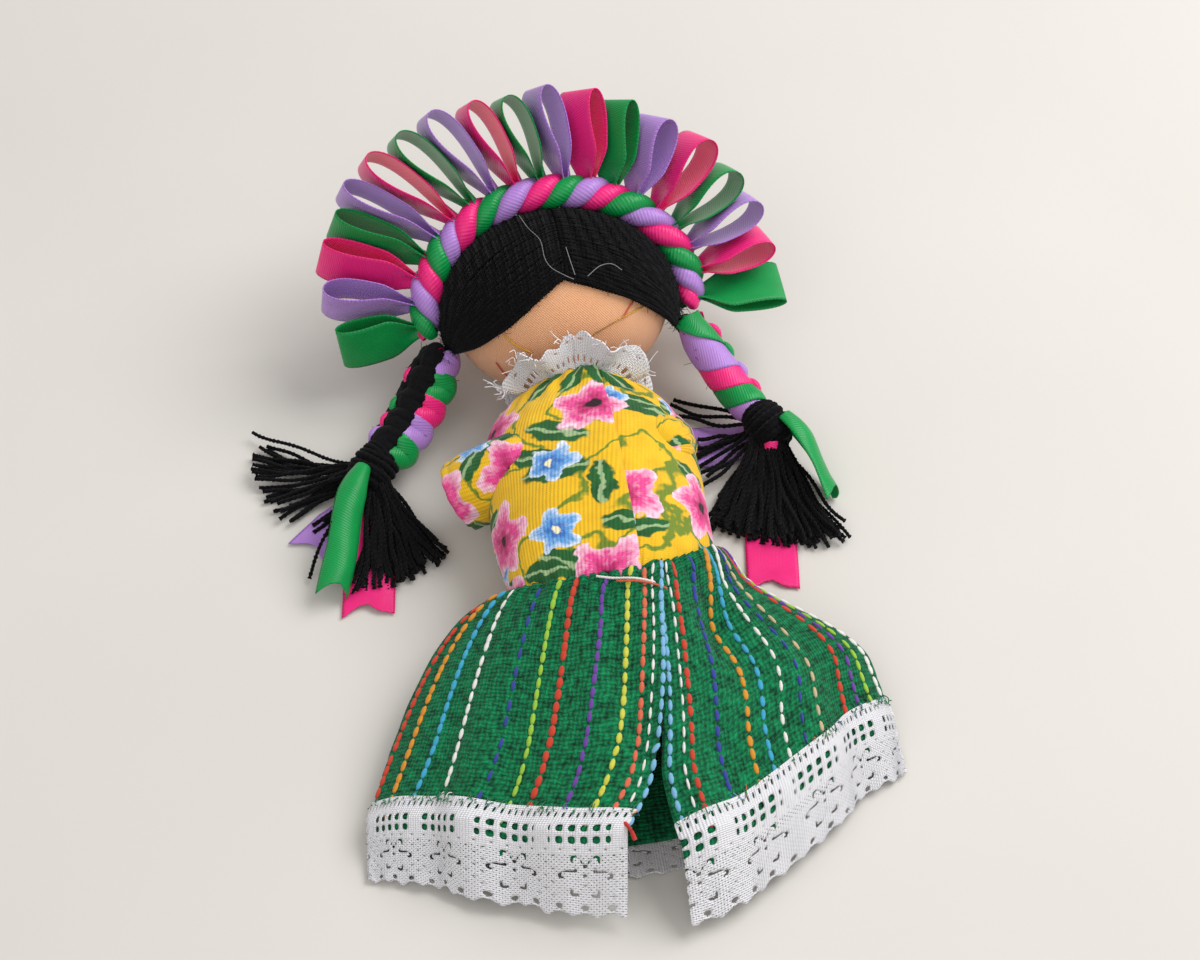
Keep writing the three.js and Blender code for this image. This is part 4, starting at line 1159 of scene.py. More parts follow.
# For each kind of leaf: the size of its cells, their shift, and its half length and half width
LEAVES = [(17 * MM, 0.013, 7.2 * MM, 3.2 * MM), (14 * MM, 0.047, 5.4 * MM, 2.4 * MM)]
# For each kind of flower: the size of its cells, their shift, its radius, the dyes of its rim, petals, heart
# and middle, and the share of cells without one
FLOWERS = [
    (18 * MM, 0.031, 5.6 * MM, "#eef5fb", "#5b9bdb", "#2a5fb4", "#f2e9c0", 0.5),
    (24 * MM, 0.004, 9.0 * MM, "#fbdbe8", "#e4478f", "#ab0f56", "#220a18", 0.22),
]


def printed_cotton():
    """A loose floral print: pink flowers, blue blossoms, and green leaves and stems on yellow."""
    paint = Paint("printed_cotton")
    flat = paint.flat()
    along, across = paint.split(flat)
    waver = paint.vector("SUBTRACT", paint.noise(330.0, 2.0, flat).beside("Color"), (0.5, 0.5, 0.5))
    spot = paint.vector("ADD", flat, paint.vector("SCALE", waver, PRINT_WAVER))

    def scatter(cell, loose, shift):
        """The place seen from the middle of its loose cell, and two chances that each cell has."""
        moved = paint.node("ShaderNodeMapping", sockets={"Vector": spot, "Location": (shift, shift * 0.7, 0)})
        sockets = {"Vector": moved, "Scale": 1 / cell, "Randomness": loose}
        cells = paint.node("ShaderNodeTexVoronoi", {"voronoi_dimensions": "2D"}, sockets)
        x, y = paint.split(paint.vector("SUBTRACT", moved, cells.beside("Position")))
        chance, turn = paint.split(cells.beside("Color"))
        return x, y, chance, turn

    def soft(value, edge):
        """1 inside a shape and 0 outside it, over a soft edge."""
        return (value / edge).within()

    def leaf(x, y, turn, long, wide):
        """A leaf turned on its middle, and how far across it the place is."""
        angle = turn * TAU
        cosine, sine = angle.of("COSINE"), angle.of("SINE")
        a = (x * cosine + y * sine) / long
        b = (y * cosine - x * sine) / wide
        return soft(1 - (a * a + b * b), 0.25), b

    weave = paint.noise(260.0, 3.0)
    patch = paint.noise(700.0, 2.0)
    colour = paint.mix(weave, dye("#dca50c"), dye("#f4c922"))
    wander = paint.noise(55.0, 1.0, spot)
    stem = soft(0.02 - (wander - 0.5).of("ABSOLUTE"), 0.012)
    colour = paint.mix(stem * 0.85, colour, dye("#3f7a26"))
    green = paint.mix(weave, dye("#0b3a1c"), dye("#25702f"))
    for cell, shift, long, wide in LEAVES:
        x, y, chance, turn = scatter(cell, 0.85, shift)
        shape, middle = leaf(x, y, turn, long, wide)
        streak = soft(0.2 - middle.of("ABSOLUTE"), 0.1)
        shown = shape * soft(chance - 0.36, 0.02)
        colour = paint.mix(shown, colour, paint.mix(streak * 0.6, green, dye("#bcd6a0")))
    for cell, shift, size, rim, main, heart, dot, least in FLOWERS:
        x, y, chance, turn = scatter(cell, 0.5, shift)
        away = (x * x + y * y).of("SQRT")
        bearing = y.of("ARCTAN2", x) + turn * TAU
        reach = ((bearing * 5.0).of("COSINE") * 0.17 + 0.83 + (weave - 0.5) * 0.3) * size
        present = soft(chance - least, 0.02)
        streaks = ((bearing * 31.0).of("SINE") * 0.5 + 0.5) * 0.4
        pale = soft(away - reach * 0.62, size * 0.3) * 0.75 + streaks * 0.4 + (patch - 0.55) * 1.2
        petal = paint.mix(pale.within(), dye(main), dye(rim))
        petal = paint.mix(soft(reach * 0.5 - away, size * 0.2) * (0.55 + streaks), petal, dye(heart))
        petal = paint.mix(soft(size * 0.17 - away, size * 0.06), petal, dye(dot))
        colour = paint.mix(soft(reach - away, 0.35 * MM) * present, colour, petal)
    ribs = (along + across * 0.15).wave(PRINT_RIB)
    threads = across.wave(PRINT_THREAD)
    return paint.shade(
        Base_Color=colour,
        Roughness=0.8,
        Specular_IOR_Level=0.3,
        Sheen_Weight=0.15,
        Normal=paint.bump(ribs + threads * 0.4, 0.07 * MM, 0.7),
    )


def blouse_section(y):
    """Half the blouse's width and depth at y: nearly straight up to the shoulders, then in to the neck."""
    body_width, body_depth = body_section(y)
    sides = smoothstep((y + 16 * MM) / (14 * MM))
    below = (body_width + BLOUSE_FIT) * (1 - sides) + BLOUSE_HALF_WIDTH * sides
    slope = np.clip((y - SHOULDER_START_Y) / (BLOUSE_TOP_Y - SHOULDER_START_Y), 0, 1)
    above = BLOUSE_NECK_HALF_WIDTH + BLOUSE_SHOULDER * (1 - slope ** 3) ** 0.6
    half_width = np.where(y < SHOULDER_START_Y, below, above)
    return half_width, np.maximum(body_depth + BLOUSE_DEPTH_FIT, BLOUSE_LEAST_DEPTH)


print_finish = printed_cotton()
blouse_ys = np.concatenate([
    np.linspace(BLOUSE_HEM_Y, NECK_START_Y, BLOUSE_ROWS),
    np.linspace(NECK_NEXT_Y, BLOUSE_TOP_Y, BLOUSE_NECK_ROWS),
])
half_width, half_depth = blouse_section(blouse_ys)
seam_angle = np.arccos(SEAM_X / half_width)
level = np.broadcast_to(blouse_ys, (BLOUSE_COLUMNS, len(blouse_ys)))
share = np.linspace(0, 1, BLOUSE_COLUMNS)[:, None]
turn = seam_angle - SEAM_START + share * (TAU + SEAM_OVERLAP)
waist_gather = hump(level - BLOUSE_HEM_Y, 10 * MM) * np.sin(turn * 31 + 3 * np.sin(turn * 5)) * GATHER_DEPTH
neck_gather = hump(level - BLOUSE_TOP_Y, 6 * MM) * np.sin(turn * 24 + 2 * np.sin(turn * 3)) * GATHER_DEPTH
slack = 0.45 * MM * np.sin(turn * 3 + level / (9 * MM)) * np.sin(level / (7 * MM) + turn * 2)
stand = waist_gather + neck_gather + slack + SEAM_STAND * hump(turn - seam_angle + SEAM_START, 0.22)
middle_z = BODY_Z + 1.5 * MM * smoothstep((level - 18 * MM) / (14 * MM))
blouse_points = above_table(np.stack([
    np.cos(turn) * (half_width + stand), level, middle_z + np.sin(turn) * (half_depth + stand),
], axis=-1))
blouse_rise = run_of(blouse_points[BLOUSE_COLUMNS // 2])
blouse_map = cloth_map(np.linspace(0, TAU, BLOUSE_COLUMNS) * BODY_HALF_WIDTH * 0.92, blouse_rise)
blouse = surface("printed_blouse", blouse_points, blouse_map)
thicken(blouse, BLOUSE_THICK)
settle(blouse, "torso", print_finish, "printed_cotton", "blouse_body")

# Sleeves and arms: short set-in sleeves of the print, hemmed at the open end, over stuffed cotton arms.
# The left one lies out beside the body and the right one is tucked under the shoulder.
ARM_WAYS = {"left": unit(np.array([-0.82, -0.02, -0.5])), "right": unit(np.array([0.12, 0.62, -0.78]))}
ARM_UP = (0, 1.0, 0.2)
ARM_POINTS = 40
ARM_START, ARM_END = -1 * MM, 17 * MM
ARM_RADIUS = 4.6 * MM
WRIST_PINCH = 0.6 * MM
SLEEVE_LENGTH = 15 * MM
SLEEVE_RADIUS = 6.9 * MM
SLEEVE_PUFF = 0.9 * MM
SLEEVE_COLUMNS, SLEEVE_ROWS, CAP_ROWS = 72, 30, 14
SLEEVE_HEM = 2 * MM
SLEEVE_PRINT_SHIFT = 0.05
SLEEVE_PRINT_RADIUS = 7 * MM


def limb(word, part, start, way, reach, radii, up=UP):
    """A stuffed arm or leg, along its way from the joint."""
    piece = tube(f"{word}_stuffed_{part}", start + way * reach[:, None], radii, up=up)
    settle(piece, f"{word}_{part}", skin_cotton, "skin_cotton", f"{word}_{part}")


angles = np.linspace(0, TAU, SLEEVE_COLUMNS, endpoint=False)[:, None]
cap = np.linspace(0, np.pi / 2, CAP_ROWS)[1:]
puff = SLEEVE_RADIUS + SLEEVE_PUFF * np.sin(np.linspace(0, 2.6, SLEEVE_ROWS))
distances = np.concatenate([-SLEEVE_RADIUS * np.cos(cap), np.linspace(0.6 * MM, SLEEVE_LENGTH, SLEEVE_ROWS)])
sleeve_radii = np.concatenate([SLEEVE_RADIUS * np.sin(cap), puff])
late = np.clip(distances / SLEEVE_LENGTH, 0, 1)
crease = np.sin(angles * 13 + distances / (3 * MM)) * 0.22 * MM * late
crease += np.sin(angles * 19) * 0.3 * MM * hump(distances, 4 * MM)
hem = 0.25 * MM * hump(distances - SLEEVE_LENGTH + SLEEVE_HEM, 0.5 * MM)
stand = (sleeve_radii + crease - hem)[..., None]
arm_share = np.linspace(0, 1, ARM_POINTS)
arm_reach = np.linspace(ARM_START, ARM_END, ARM_POINTS)
arm_swell = ARM_RADIUS - WRIST_PINCH * hump(arm_share - 0.72, 0.1)
arm_radii = arm_swell * np.clip(np.sin(np.pi * arm_share), 0, 1) ** 0.32
for word, way in ARM_WAYS.items():
    shoulder = joint_place[f"{word}_shoulder_swing"]
    side_way, rise = side_and_up(way, ARM_UP)
    spread = side_way * np.cos(angles)[..., None] + rise * np.sin(angles)[..., None]
    points = above_table(shoulder + way * distances[:, None] + spread * stand)
    around = np.linspace(0, TAU, SLEEVE_COLUMNS + 1) * SLEEVE_PRINT_RADIUS + SLEEVE_PRINT_SHIFT
    sleeve_map = cloth_map(around, run_of(points[0]))
    sleeve = surface(f"{word}_printed_sleeve", points, sleeve_map, round_rows=True)
    thicken(sleeve, BLOUSE_THICK, -1.0)
    settle(sleeve, f"{word}_arm", print_finish, "printed_cotton", f"{word}_sleeve")
    limb(word, "arm", shoulder, way, arm_reach, arm_radii, ARM_UP)

# Collar: white cotton lace gathered tightly round the neck, so that it stands and falls in a frill over the
# shoulders. Its cut threads stick out along the edge.
COLLAR_LENGTH = 105 * MM
COLLAR_DEPTH = 11 * MM
COLLAR_Y = 34 * MM
COLLAR_THICK = 0.3 * MM
COLLAR_SCALLOP, COLLAR_SCALLOP_PITCH = 1.5 * MM, 6 * MM
COLLAR_ENDS = 90
COLLAR_END_POINTS = 8
LACE_CELL = 0.42 * MM
LACE_CLEAR = TABLE_CLEAR + 0.3 * MM


def lace_finish(name, code, net, start):
    """White cotton thread; past start across it a fine mesh opens between the threads as far as net."""
    paint = Paint(name)
    along, across = paint.cloth()
    threads = along.wave(0.5 * MM) + across.wave(0.45 * MM)
    # Colour: random tone, and a little painted shade in the dips between the threads.
    colours = paint.mix((threads * 0.1 + paint.noise(500.0) * 0.8).within(), dye("#ecebf2"), dye(code))
    mesh = along.wave(0.9 * MM) * across.wave(0.9 * MM)
    open_share = ((across - start) / (0.5 * MM)).within() * net
    return paint.shade(
        Base_Color=colours,
        Roughness=0.85,
        Specular_IOR_Level=0.25,
        Sheen_Weight=0.2,
        Alpha=(1.0 - (mesh - 1.0 + open_share) * 5.0).within(),
        Normal=paint.bump(threads, 0.12 * MM, 0.8),
    )


white_lace = lace_finish("white_lace", "#fdfdff", 0.35, 9.5 * MM)
white_net = lace_finish("white_net", "#fdfdff", 0.3, 1.2 * MM)


def lace_cut(length, width, cell, solid):
    """Flat lace: small quads where solid(along, across) is true, with the edges of its holes rounded off."""
    columns, rows = round(length / cell), round(width / cell)
    i, j = np.meshgrid(np.arange(columns), np.arange(rows), indexing="ij")
    keep = solid((i + 0.5) * cell, (j + 0.5) * cell)
    i, j = i[keep], j[keep]
    line = rows + 1
    here, after = i * line + j, (i + 1) * line + j
    used, faces = np.unique(np.stack([here, after, after + 1, here + 1], axis=1), return_inverse=True)
    faces = faces.reshape(-1, 4)
    flat = np.stack([used // line, used % line], axis=1) * cell
    pairs = np.concatenate([faces[:, [k, (k + 1) % 4]] for k in range(4)])
    pairs.sort(axis=1)
    pairs, uses = np.unique(pairs, axis=0, return_counts=True)
    rim = pairs[uses == 1]
    for _ in range(2):
        total = np.zeros_like(flat)
        count = np.zeros(len(flat))
        for a, b in ((0, 1), (1, 0)):
            np.add.at(total, rim[:, a], flat[rim[:, b]])
            np.add.at(count, rim[:, a], 1)
        edge = count > 0
        flat[edge] = 0.45 * flat[edge] + 0.55 * total[edge] / count[edge][:, None]
    return flat, faces


def lace_piece(name, flat, faces, points, thickness):
    """Cut lace in its place, with its thickness."""
    return thicken(in_scene(name, quads(name, points, faces, flat[faces])), thickness)


def collar_solid(along, across):
    """Where the collar has thread: a gathered band, a mesh with small openings, and a scalloped rim."""
    scallop = COLLAR_DEPTH - COLLAR_SCALLOP * np.abs(np.sin(np.pi * along / COLLAR_SCALLOP_PITCH))
    slots = (across > 2.2 * MM) & (across < 4.4 * MM) & ((along % (1.7 * MM)) < 0.5 * MM)
    drops = np.hypot((along % (3 * MM)) - 1.5 * MM, across - 8 * MM) < 0.5 * MM
    return (across < scallop) & ~(slots | drops)


def collar_place(along, across):
    """The frill: gathered at the neck, then out in soft folds."""
    angle = TAU * along / COLLAR_LENGTH + np.pi / 2
    out = across / COLLAR_DEPTH
    back = smoothstep((1 + np.sin(angle)) / 1.6)
    wave = 9 * angle + 1.2 * np.sin(2 * angle)
    fine = np.sin(23 * angle + 2 * np.sin(4 * angle)) * 0.35 * MM * out
    spread = (9.5 + 0.7 * back + (4 + 4.3 * back) * out ** 0.9) * MM
    radius = spread + 1.2 * MM * np.cos(wave + 0.6) * out + fine
    y = COLLAR_Y + 2.5 * MM * out + 2.8 * MM * np.sin(wave) * out ** 0.8 + fine
    z = BODY_Z + 1.5 * MM + radius * np.sin(angle)
    return above_table(np.stack([radius * np.cos(angle), y, z], axis=-1), LACE_CLEAR)


collar_flat, collar_faces = lace_cut(COLLAR_LENGTH, COLLAR_DEPTH, LACE_CELL, collar_solid)
collar = lace_piece("lace_collar", collar_flat, collar_faces, collar_place(*collar_flat.T), COLLAR_THICK)
settle(collar, "torso", white_net, "white_lace", "collar_lace")
collar_lines = []
for _ in range(COLLAR_ENDS):
    along = COLLAR_LENGTH * draw.random()
    base = collar_place(np.array([along]), np.array([COLLAR_DEPTH * (0.7 + 0.25 * draw.random())]))[0]
    away = (base - [0, base[1], BODY_Z]) * 0.12 * draw.random()
    tip = base + away + draw.normal(size=3) * [1.2 * MM, 1.2 * MM, 1.0 * MM]
    middle = (base + tip) / 2 + draw.normal(size=3) * 0.5 * MM
    collar_lines.append(short_end(base, middle, tip, COLLAR_END_POINTS))
collar_threads = yarn("collar_threads", collar_lines, 0.1 * MM, white_lace, plies=2, depth=0.05, sides=5)
settle(collar_threads, "torso", white_lace, "white_lace")

# Legs: stuffed cotton tubes sewn to the seat, hidden in the skirt but for a sliver in its slit.
# They lie side by side with the feet together.
LEG_POINTS = 56
LEG_RADIUS, THIGH_SWELL, FOOT_SWELL = 5.4 * MM, 0.7 * MM, 0.25 * MM
LEG_ABOVE, LEG_BELOW = 5.8 * MM, 5.4 * MM
leg_share = np.linspace(0, 1, LEG_POINTS)
leg_swell = LEG_RADIUS + THIGH_SWELL * hump(leg_share, 0.2) + FOOT_SWELL * hump(leg_share - 0.93, 0.08)
leg_radii = leg_swell * np.clip(np.sin(np.pi * leg_share), 0, 1) ** 0.24
for word, outward in SIDES.items():
    hip_to_foot = np.array([outward * 1.5, -31, -3.6]) * MM
    leg_reach = np.linspace(-LEG_ABOVE, float(np.linalg.norm(hip_to_foot)) + LEG_BELOW, LEG_POINTS)
    limb(word, "leg", joint_place[f"{word}_hip_spread"], unit(hip_to_foot), leg_reach, leg_radii)

# Skirt: one length of coarse hand-woven green cloth gathered to the waist, with its two edges lapped at the
# back. Below the lap they part in a slit, and a deep fold has fallen in on the right.
WAIST_Y = -15.5 * MM
WAIST_SAG = 7 * MM
WAIST_RISE = 5 * MM
HEM_HALF_WIDTH = 55 * MM
HEM_SHIFT = -1.5 * MM
LEFT_HEM_Y, RIGHT_HEM_Y = -59.5 * MM, -51.5 * MM
LEFT_BACK_Y, RIGHT_BACK_Y, HEM_FRONT_Y = -76.5 * MM, -80.5 * MM, -66 * MM
LEFT_BACK_Z, RIGHT_BACK_Z = 18 * MM, 16 * MM
HEM_SIDE_Z, HEM_FRONT_Z = 4.5 * MM, 2 * MM
SKIRT_EDGE_GAP = 0.4 * MM
SLIT_START = 0.74
SLIT_GAP = 6 * MM
SKIRT_LAP = 2.4 * MM
LAP_STAND = 1.2 * MM
SEAM_TURN = 0.32
SIDE_GATHER = 0.3
SKIRT_FIT = 1.9 * MM
SKIRT_CLEAR = TABLE_CLEAR + 0.5 * MM
FOLDS, FOLD_DEPTH = 11, 1 * MM
SMALL_FOLDS, SMALL_FOLD_DEPTH = 17, 0.55 * MM
GATHERS, WAIST_GATHER = 46, 0.5 * MM
VALLEY_DEPTH = 6 * MM
VALLEY_ACROSS, VALLEY_DOWN = 0.6, 0.38
SKIRT_COLUMNS, SKIRT_ROWS = 440, 84
SKIRT_THICK = 0.8 * MM
HEM_TURN_ROWS, HEM_TURN_STEP = 6, 0.8 * MM
WEAVE_PITCH = 0.95 * MM
WEAVE_DRIFT = 1.3 * MM


def skirt_place(around, down):
    """A place on the skirt: around runs from its left edge at the back by the front to its right edge."""
    around, down = np.broadcast_arrays(np.asarray(around, float), np.asarray(down, float))
    fallen = np.maximum(down, 0)
    opening = SKIRT_EDGE_GAP + SLIT_GAP * np.clip((down - SLIT_START) / (1 - SLIT_START), 0, None) ** 1.5
    lap = SKIRT_LAP * np.clip(1 - down / SLIT_START, 0, 1) ** 0.5
    reach = BODY_HALF_WIDTH + (HEM_HALF_WIDTH - BODY_HALF_WIDTH) * fallen ** 0.55
    left_edge, right_edge = (opening - lap) / reach, opening / reach
    even = np.pi / 2 + left_edge + around * (TAU - left_edge - right_edge)
    turn = even - SIDE_GATHER * (1 - down) * np.sin(2 * even)
    angle = turn - SEAM_TURN * (1 - down) * np.maximum(0, np.sin(turn))
    cosine, sine = np.cos(angle), np.sin(angle)
    across = 0.5 * cosine + 0.5 * (1 - 2 * np.arccos(np.clip(cosine, -1, 1)) / np.pi)
    arch = np.maximum(0, 1 - across ** 2)
    back = np.where(sine > 0, arch ** 0.85, 0)
    front = np.where(sine > 0, 0, arch ** 0.85)
    wing = smoothstep((across - 0.3) / 0.5)
    wing_flare = 0.38 * fallen ** 0.6 + 0.62 * smoothstep((down - 0.2) / 0.55)
    flare = fallen ** (0.55 + 0.6 * back) * (1 - wing) + wing_flare * wing
    waist_y = WAIST_Y + WAIST_RISE * np.maximum(0, cosine) ** 2 - WAIST_SAG * np.abs(sine)
    half_width, half_depth = body_section(waist_y)
    on_right = around > 0.5
    side_y = np.where(across > 0, RIGHT_HEM_Y, LEFT_HEM_Y)
    middle_y = np.where(sine > 0, np.where(on_right, RIGHT_BACK_Y, LEFT_BACK_Y), HEM_FRONT_Y)
    hem_y = side_y + (middle_y - side_y) * arch ** 1.6
    back_z = np.where(on_right, RIGHT_BACK_Z, LEFT_BACK_Z)
    hem_z = HEM_SIDE_Z + (back_z - HEM_SIDE_Z) * back - (HEM_SIDE_Z - HEM_FRONT_Z) * front ** 0.4
    loose = back + 0.35 * np.abs(cosine) * (1 - front)
    valley = np.exp(-((across - VALLEY_ACROSS) / 0.1) ** 2 - ((down - VALLEY_DOWN) / 0.15) ** 2)
    fold = FOLD_DEPTH * fallen * loose * np.sin(FOLDS * angle) - VALLEY_DEPTH * back * valley
    fold = fold + SMALL_FOLD_DEPTH * fallen ** 0.7 * loose * np.sin(SMALL_FOLDS * angle + 1.2 + 3 * down)
    pleats = np.sin(angle * GATHERS + 3 * np.sin(angle * 7))
    gather = WAIST_GATHER * np.exp(-fallen / 0.12) * pleats * (1 - 0.7 * front)
    over = LAP_STAND * np.clip(1 - around / 0.05, 0, 1) * np.clip(1 - (down - SLIT_START) / 0.1, 0, 1)
    x = (half_width + SKIRT_FIT) * cosine * (1 - flare) + (HEM_HALF_WIDTH * across + HEM_SHIFT) * flare
    y = waist_y + (hem_y - waist_y) * fallen ** (1.1 + 0.2 * wing)
    z = (BODY_Z + (half_depth + SKIRT_FIT) * sine) * (1 - down) + hem_z * down
    points = [x + (fold + gather) * cosine, y, z + (fold + 1.4 * gather) * back + over]
    return above_table(np.stack(points, axis=-1), SKIRT_CLEAR)


LACE_WIDTH = 22 * MM
LACE_LAP = 4.5 * MM
LACE_DROP = 12 * MM
LACE_FLARE = 0.2
LACE_LIFT = 2.4 * MM
LACE_RIPPLE = 0.5 * MM
LACE_STAND = 0.85 * MM
NEAR = 1e-3


def hem_place(around, travel, stand):
    """A place below the skirt's edge by travel, or above it if less than nothing, standing off the cloth."""
    slope = np.linalg.norm(skirt_place(around, 1.0) - skirt_place(around, 1.0 - NEAR), axis=-1) / NEAR
    on_cloth = 1 + np.minimum(travel, 0) / slope
    place = skirt_place(around, on_cloth)
    fall = unit(place - skirt_place(around, on_cloth - NEAR))
    after, before = np.minimum(around + NEAR, 1), np.maximum(around - NEAR, 0)
    out = unit(np.cross(skirt_place(after, on_cloth) - skirt_place(before, on_cloth), fall))
    hang = unit(fall * [LACE_FLARE, 1, 1])
    place = place + hang * np.maximum(travel, 0)[..., None] + out * stand
    late = np.clip(travel / LACE_DROP, 0, 1)
    lift = LACE_LIFT * np.maximum(0, np.sin(np.pi * (0.5 + around * 2)))
    ripple = LACE_RIPPLE * np.sin(around * 190) * late
    sink = late ** 1.3
    lying = LACE_CLEAR + np.maximum(lift + ripple, 0)
    place[..., 2] = np.maximum(place[..., 2], LACE_CLEAR) * (1 - sink) + lying * sink
    return place


def woven_green():
    """Coarse plain weave: thick round threads over and under each other, painted shade between them, and a
    little fuzz.
    """
    paint = Paint("woven_green")
    along, across = paint.cloth()
    drift = (paint.noise(260.0, 1.0) - 0.5) * WEAVE_DRIFT
    u, v = (((line + drift) * (np.pi / WEAVE_PITCH)).of("SINE") for line in (along, across))
    over = u * v
    warp = u.of("ABSOLUTE") * 0.6 + over * 0.4
    weft = v.of("ABSOLUTE") * 0.6 - over * 0.4
    threads = warp.of("MAXIMUM", weft)
    uneven = paint.noise(620.0, 2.0)
    # Colour: uneven dye at random, and painted shade between the threads with painted light on their tops.
    light = (threads * 0.5 + 0.14 + (uneven - 0.5) * 1.7).within()
    return paint.shade(
        Base_Color=paint.mix(light, dye("#02331f"), dye("#0e9059")),
        Roughness=0.92,
        Specular_IOR_Level=0.2,
        Sheen_Weight=0.06,
        Normal=paint.bump(threads + uneven * 0.8, 0.4 * MM, 1.0),
    )


skirt_weave = woven_green()
ring = np.linspace(0, 1, SKIRT_COLUMNS)
hung = skirt_place(*grid_of(SKIRT_COLUMNS, SKIRT_ROWS))
hem_turn = np.arange(1, HEM_TURN_ROWS + 1) * HEM_TURN_STEP
turned_under = [hem_place(ring, np.full(SKIRT_COLUMNS, travel), 0.0) for travel in hem_turn]
skirt_points = np.concatenate([hung, np.stack(turned_under, axis=1)], axis=1)
hem_length = float(run_of(hung[:, -1])[-1])
skirt_drop = float(np.mean([run_of(hung[k])[-1] for k in range(0, SKIRT_COLUMNS, 30)]))
skirt_lengths = np.concatenate([np.linspace(0, skirt_drop, SKIRT_ROWS), skirt_drop + hem_turn])
skirt = surface("woven_skirt", skirt_points, cloth_map(ring * hem_length, skirt_lengths))
thicken(skirt, SKIRT_THICK)
settle(skirt, "torso", skirt_weave, "woven_skirt", "skirt")

# Stripes: a thick coloured yarn floats over the weave in short dashes down each line.
# Every float is one small rounded stitch that stands out of the cloth.
STRIPE_DYES = {
    "amber": "#e0931d", "cyan": "#35a7cf", "white": "#efede8", "blue": "#2a3c9c", "lime": "#9ccb3a",
    "red": "#d23c1f", "purple": "#6d3ba4", "yellow": "#d3d548", "coral": "#e56a4a", "sky": "#7dbbe2",
    "beige": "#cdb88f",
}
# Sideways place at the hem in millimetres, colour, thickness and looseness, from the opening outwards
BACK_STRIPES = [
    (-6.8, "sky", 1.0, 1.0), (-9, "white", 0.6, 1.2), (-11.2, "coral", 1.0, 1.0), (-15, "yellow", 1.1, 1.0),
    (-20.8, "purple", 0.95, 1.0), (-27, "red", 1.25, 1.0), (-31.2, "lime", 1.0, 1.0),
    (-37.4, "blue", 0.75, 1.5), (-43.6, "white", 0.9, 1.1), (-49.4, "cyan", 1.0, 1.0),
    (-53.6, "amber", 1.1, 1.0),
    (5.3, "sky", 1.0, 1.0), (8.2, "white", 0.6, 1.2), (10, "red", 1.1, 1.0), (15.8, "blue", 1.0, 1.0),
    (22, "amber", 1.15, 1.0), (25.6, "cyan", 1.0, 1.0), (29.4, "white", 0.8, 1.15),
    (33.2, "blue", 0.7, 1.4), (37, "beige", 0.85, 1.3), (43.6, "red", 1.0, 1.1),
    (46.9, "purple", 0.8, 1.2), (50, "lime", 0.9, 1.1),
]
FRONT_COLOURS = ["lime", "red", "purple", "beige", "cyan", "amber", "blue", "coral", "white", "sky", "yellow"]
FRONT_STRIPES = 20
FLOAT_PITCH = 2.5 * MM
FLOAT_STAND = 0.45 * MM
BESIDE = 1e-4


def stitch_tree():
    """Geometry nodes that set one rounded float on each point, along the line and flat on the cloth."""
    inputs = {
        "Points": "Geometry", "Float length": "Float", "Float width": "Float", "Float height": "Float",
        "Finish": "Material",
    }
    tree, given, add = node_tree("woven_floats", inputs, "Floats")
    points = add("GeometryNodeMeshToPoints", sockets={0: given["Points"]})[0]
    bead = add("GeometryNodeMeshUVSphere", sockets={"Segments": 8, "Rings": 6, "Radius": 0.5})[0]
    bulk = add("GeometryNodeInputNamedAttribute", sockets={0: "bulk"})[0]
    wide = add("ShaderNodeMath", {"operation": "MULTIPLY"}, {0: bulk, 1: given["Float width"]})[0]
    sizes = {0: given["Float length"], 1: wide, 2: given["Float height"]}
    size = add("ShaderNodeCombineXYZ", sockets=sizes)[0]
    way = {"data_type": "FLOAT_VECTOR"}
    along = add("GeometryNodeInputNamedAttribute", way, {0: "along"})[0]
    up = add("GeometryNodeInputNamedAttribute", way, {0: "up"})[0]
    lie = add("FunctionNodeAlignRotationToVector", {"axis": "X"}, {2: along})[0]
    lie = add("FunctionNodeAlignRotationToVector", {"axis": "Z", "pivot_axis": "X"}, {0: lie, 2: up})[0]
    laid = add("GeometryNodeInstanceOnPoints", sockets={0: points, 2: bead, 5: lie, 6: size})[0]
    return end_tree(tree, given, add, laid)


stitch_nodes = stitch_tree()


def stripe_finish():
    """Matt yarn in the colour that each stitch carries."""
    paint = Paint("stripe_yarn")
    tint = paint.node("ShaderNodeVertexColor", {"layer_name": "tint"})
    fleck = paint.noise(1100.0, 2.0)
    darker = paint.mix(0.35, tint, (0.0, 0.0, 0.0, 1.0))
    return paint.shade(
        Base_Color=paint.mix(fleck, darker, tint),
        Roughness=0.85,
        Sheen_Weight=0.2,
        Normal=paint.bump(fleck, 0.12 * MM, 0.6),
    )


stripe_yarn = stripe_finish()
hem_share = np.linspace(0, 0.3, 400)
left_x = np.minimum.accumulate(skirt_place(hem_share, 1.0)[:, 0])
right_x = np.maximum.accumulate(skirt_place(1 - hem_share, 1.0)[:, 0])
stripes_at = []
for x, colour, bulk, loose in BACK_STRIPES:
    if x < 0:
        stripes_at.append((float(np.interp(-x * MM, -left_x, hem_share)), colour, bulk, loose))
    else:
        stripes_at.append((1 - float(np.interp(x * MM, right_x, hem_share)), colour, bulk, loose))
first = max(place for place, *_ in stripes_at if place < 0.5)
last = min(place for place, *_ in stripes_at if place > 0.5)
for number in range(1, FRONT_STRIPES):
    colour = FRONT_COLOURS[number % len(FRONT_COLOURS)]
    stripes_at.append((first + (last - first) * number / FRONT_STRIPES, colour, 1.0, 1.0))
floats = {"place": [], "along": [], "up": [], "tint": [], "bulk": []}
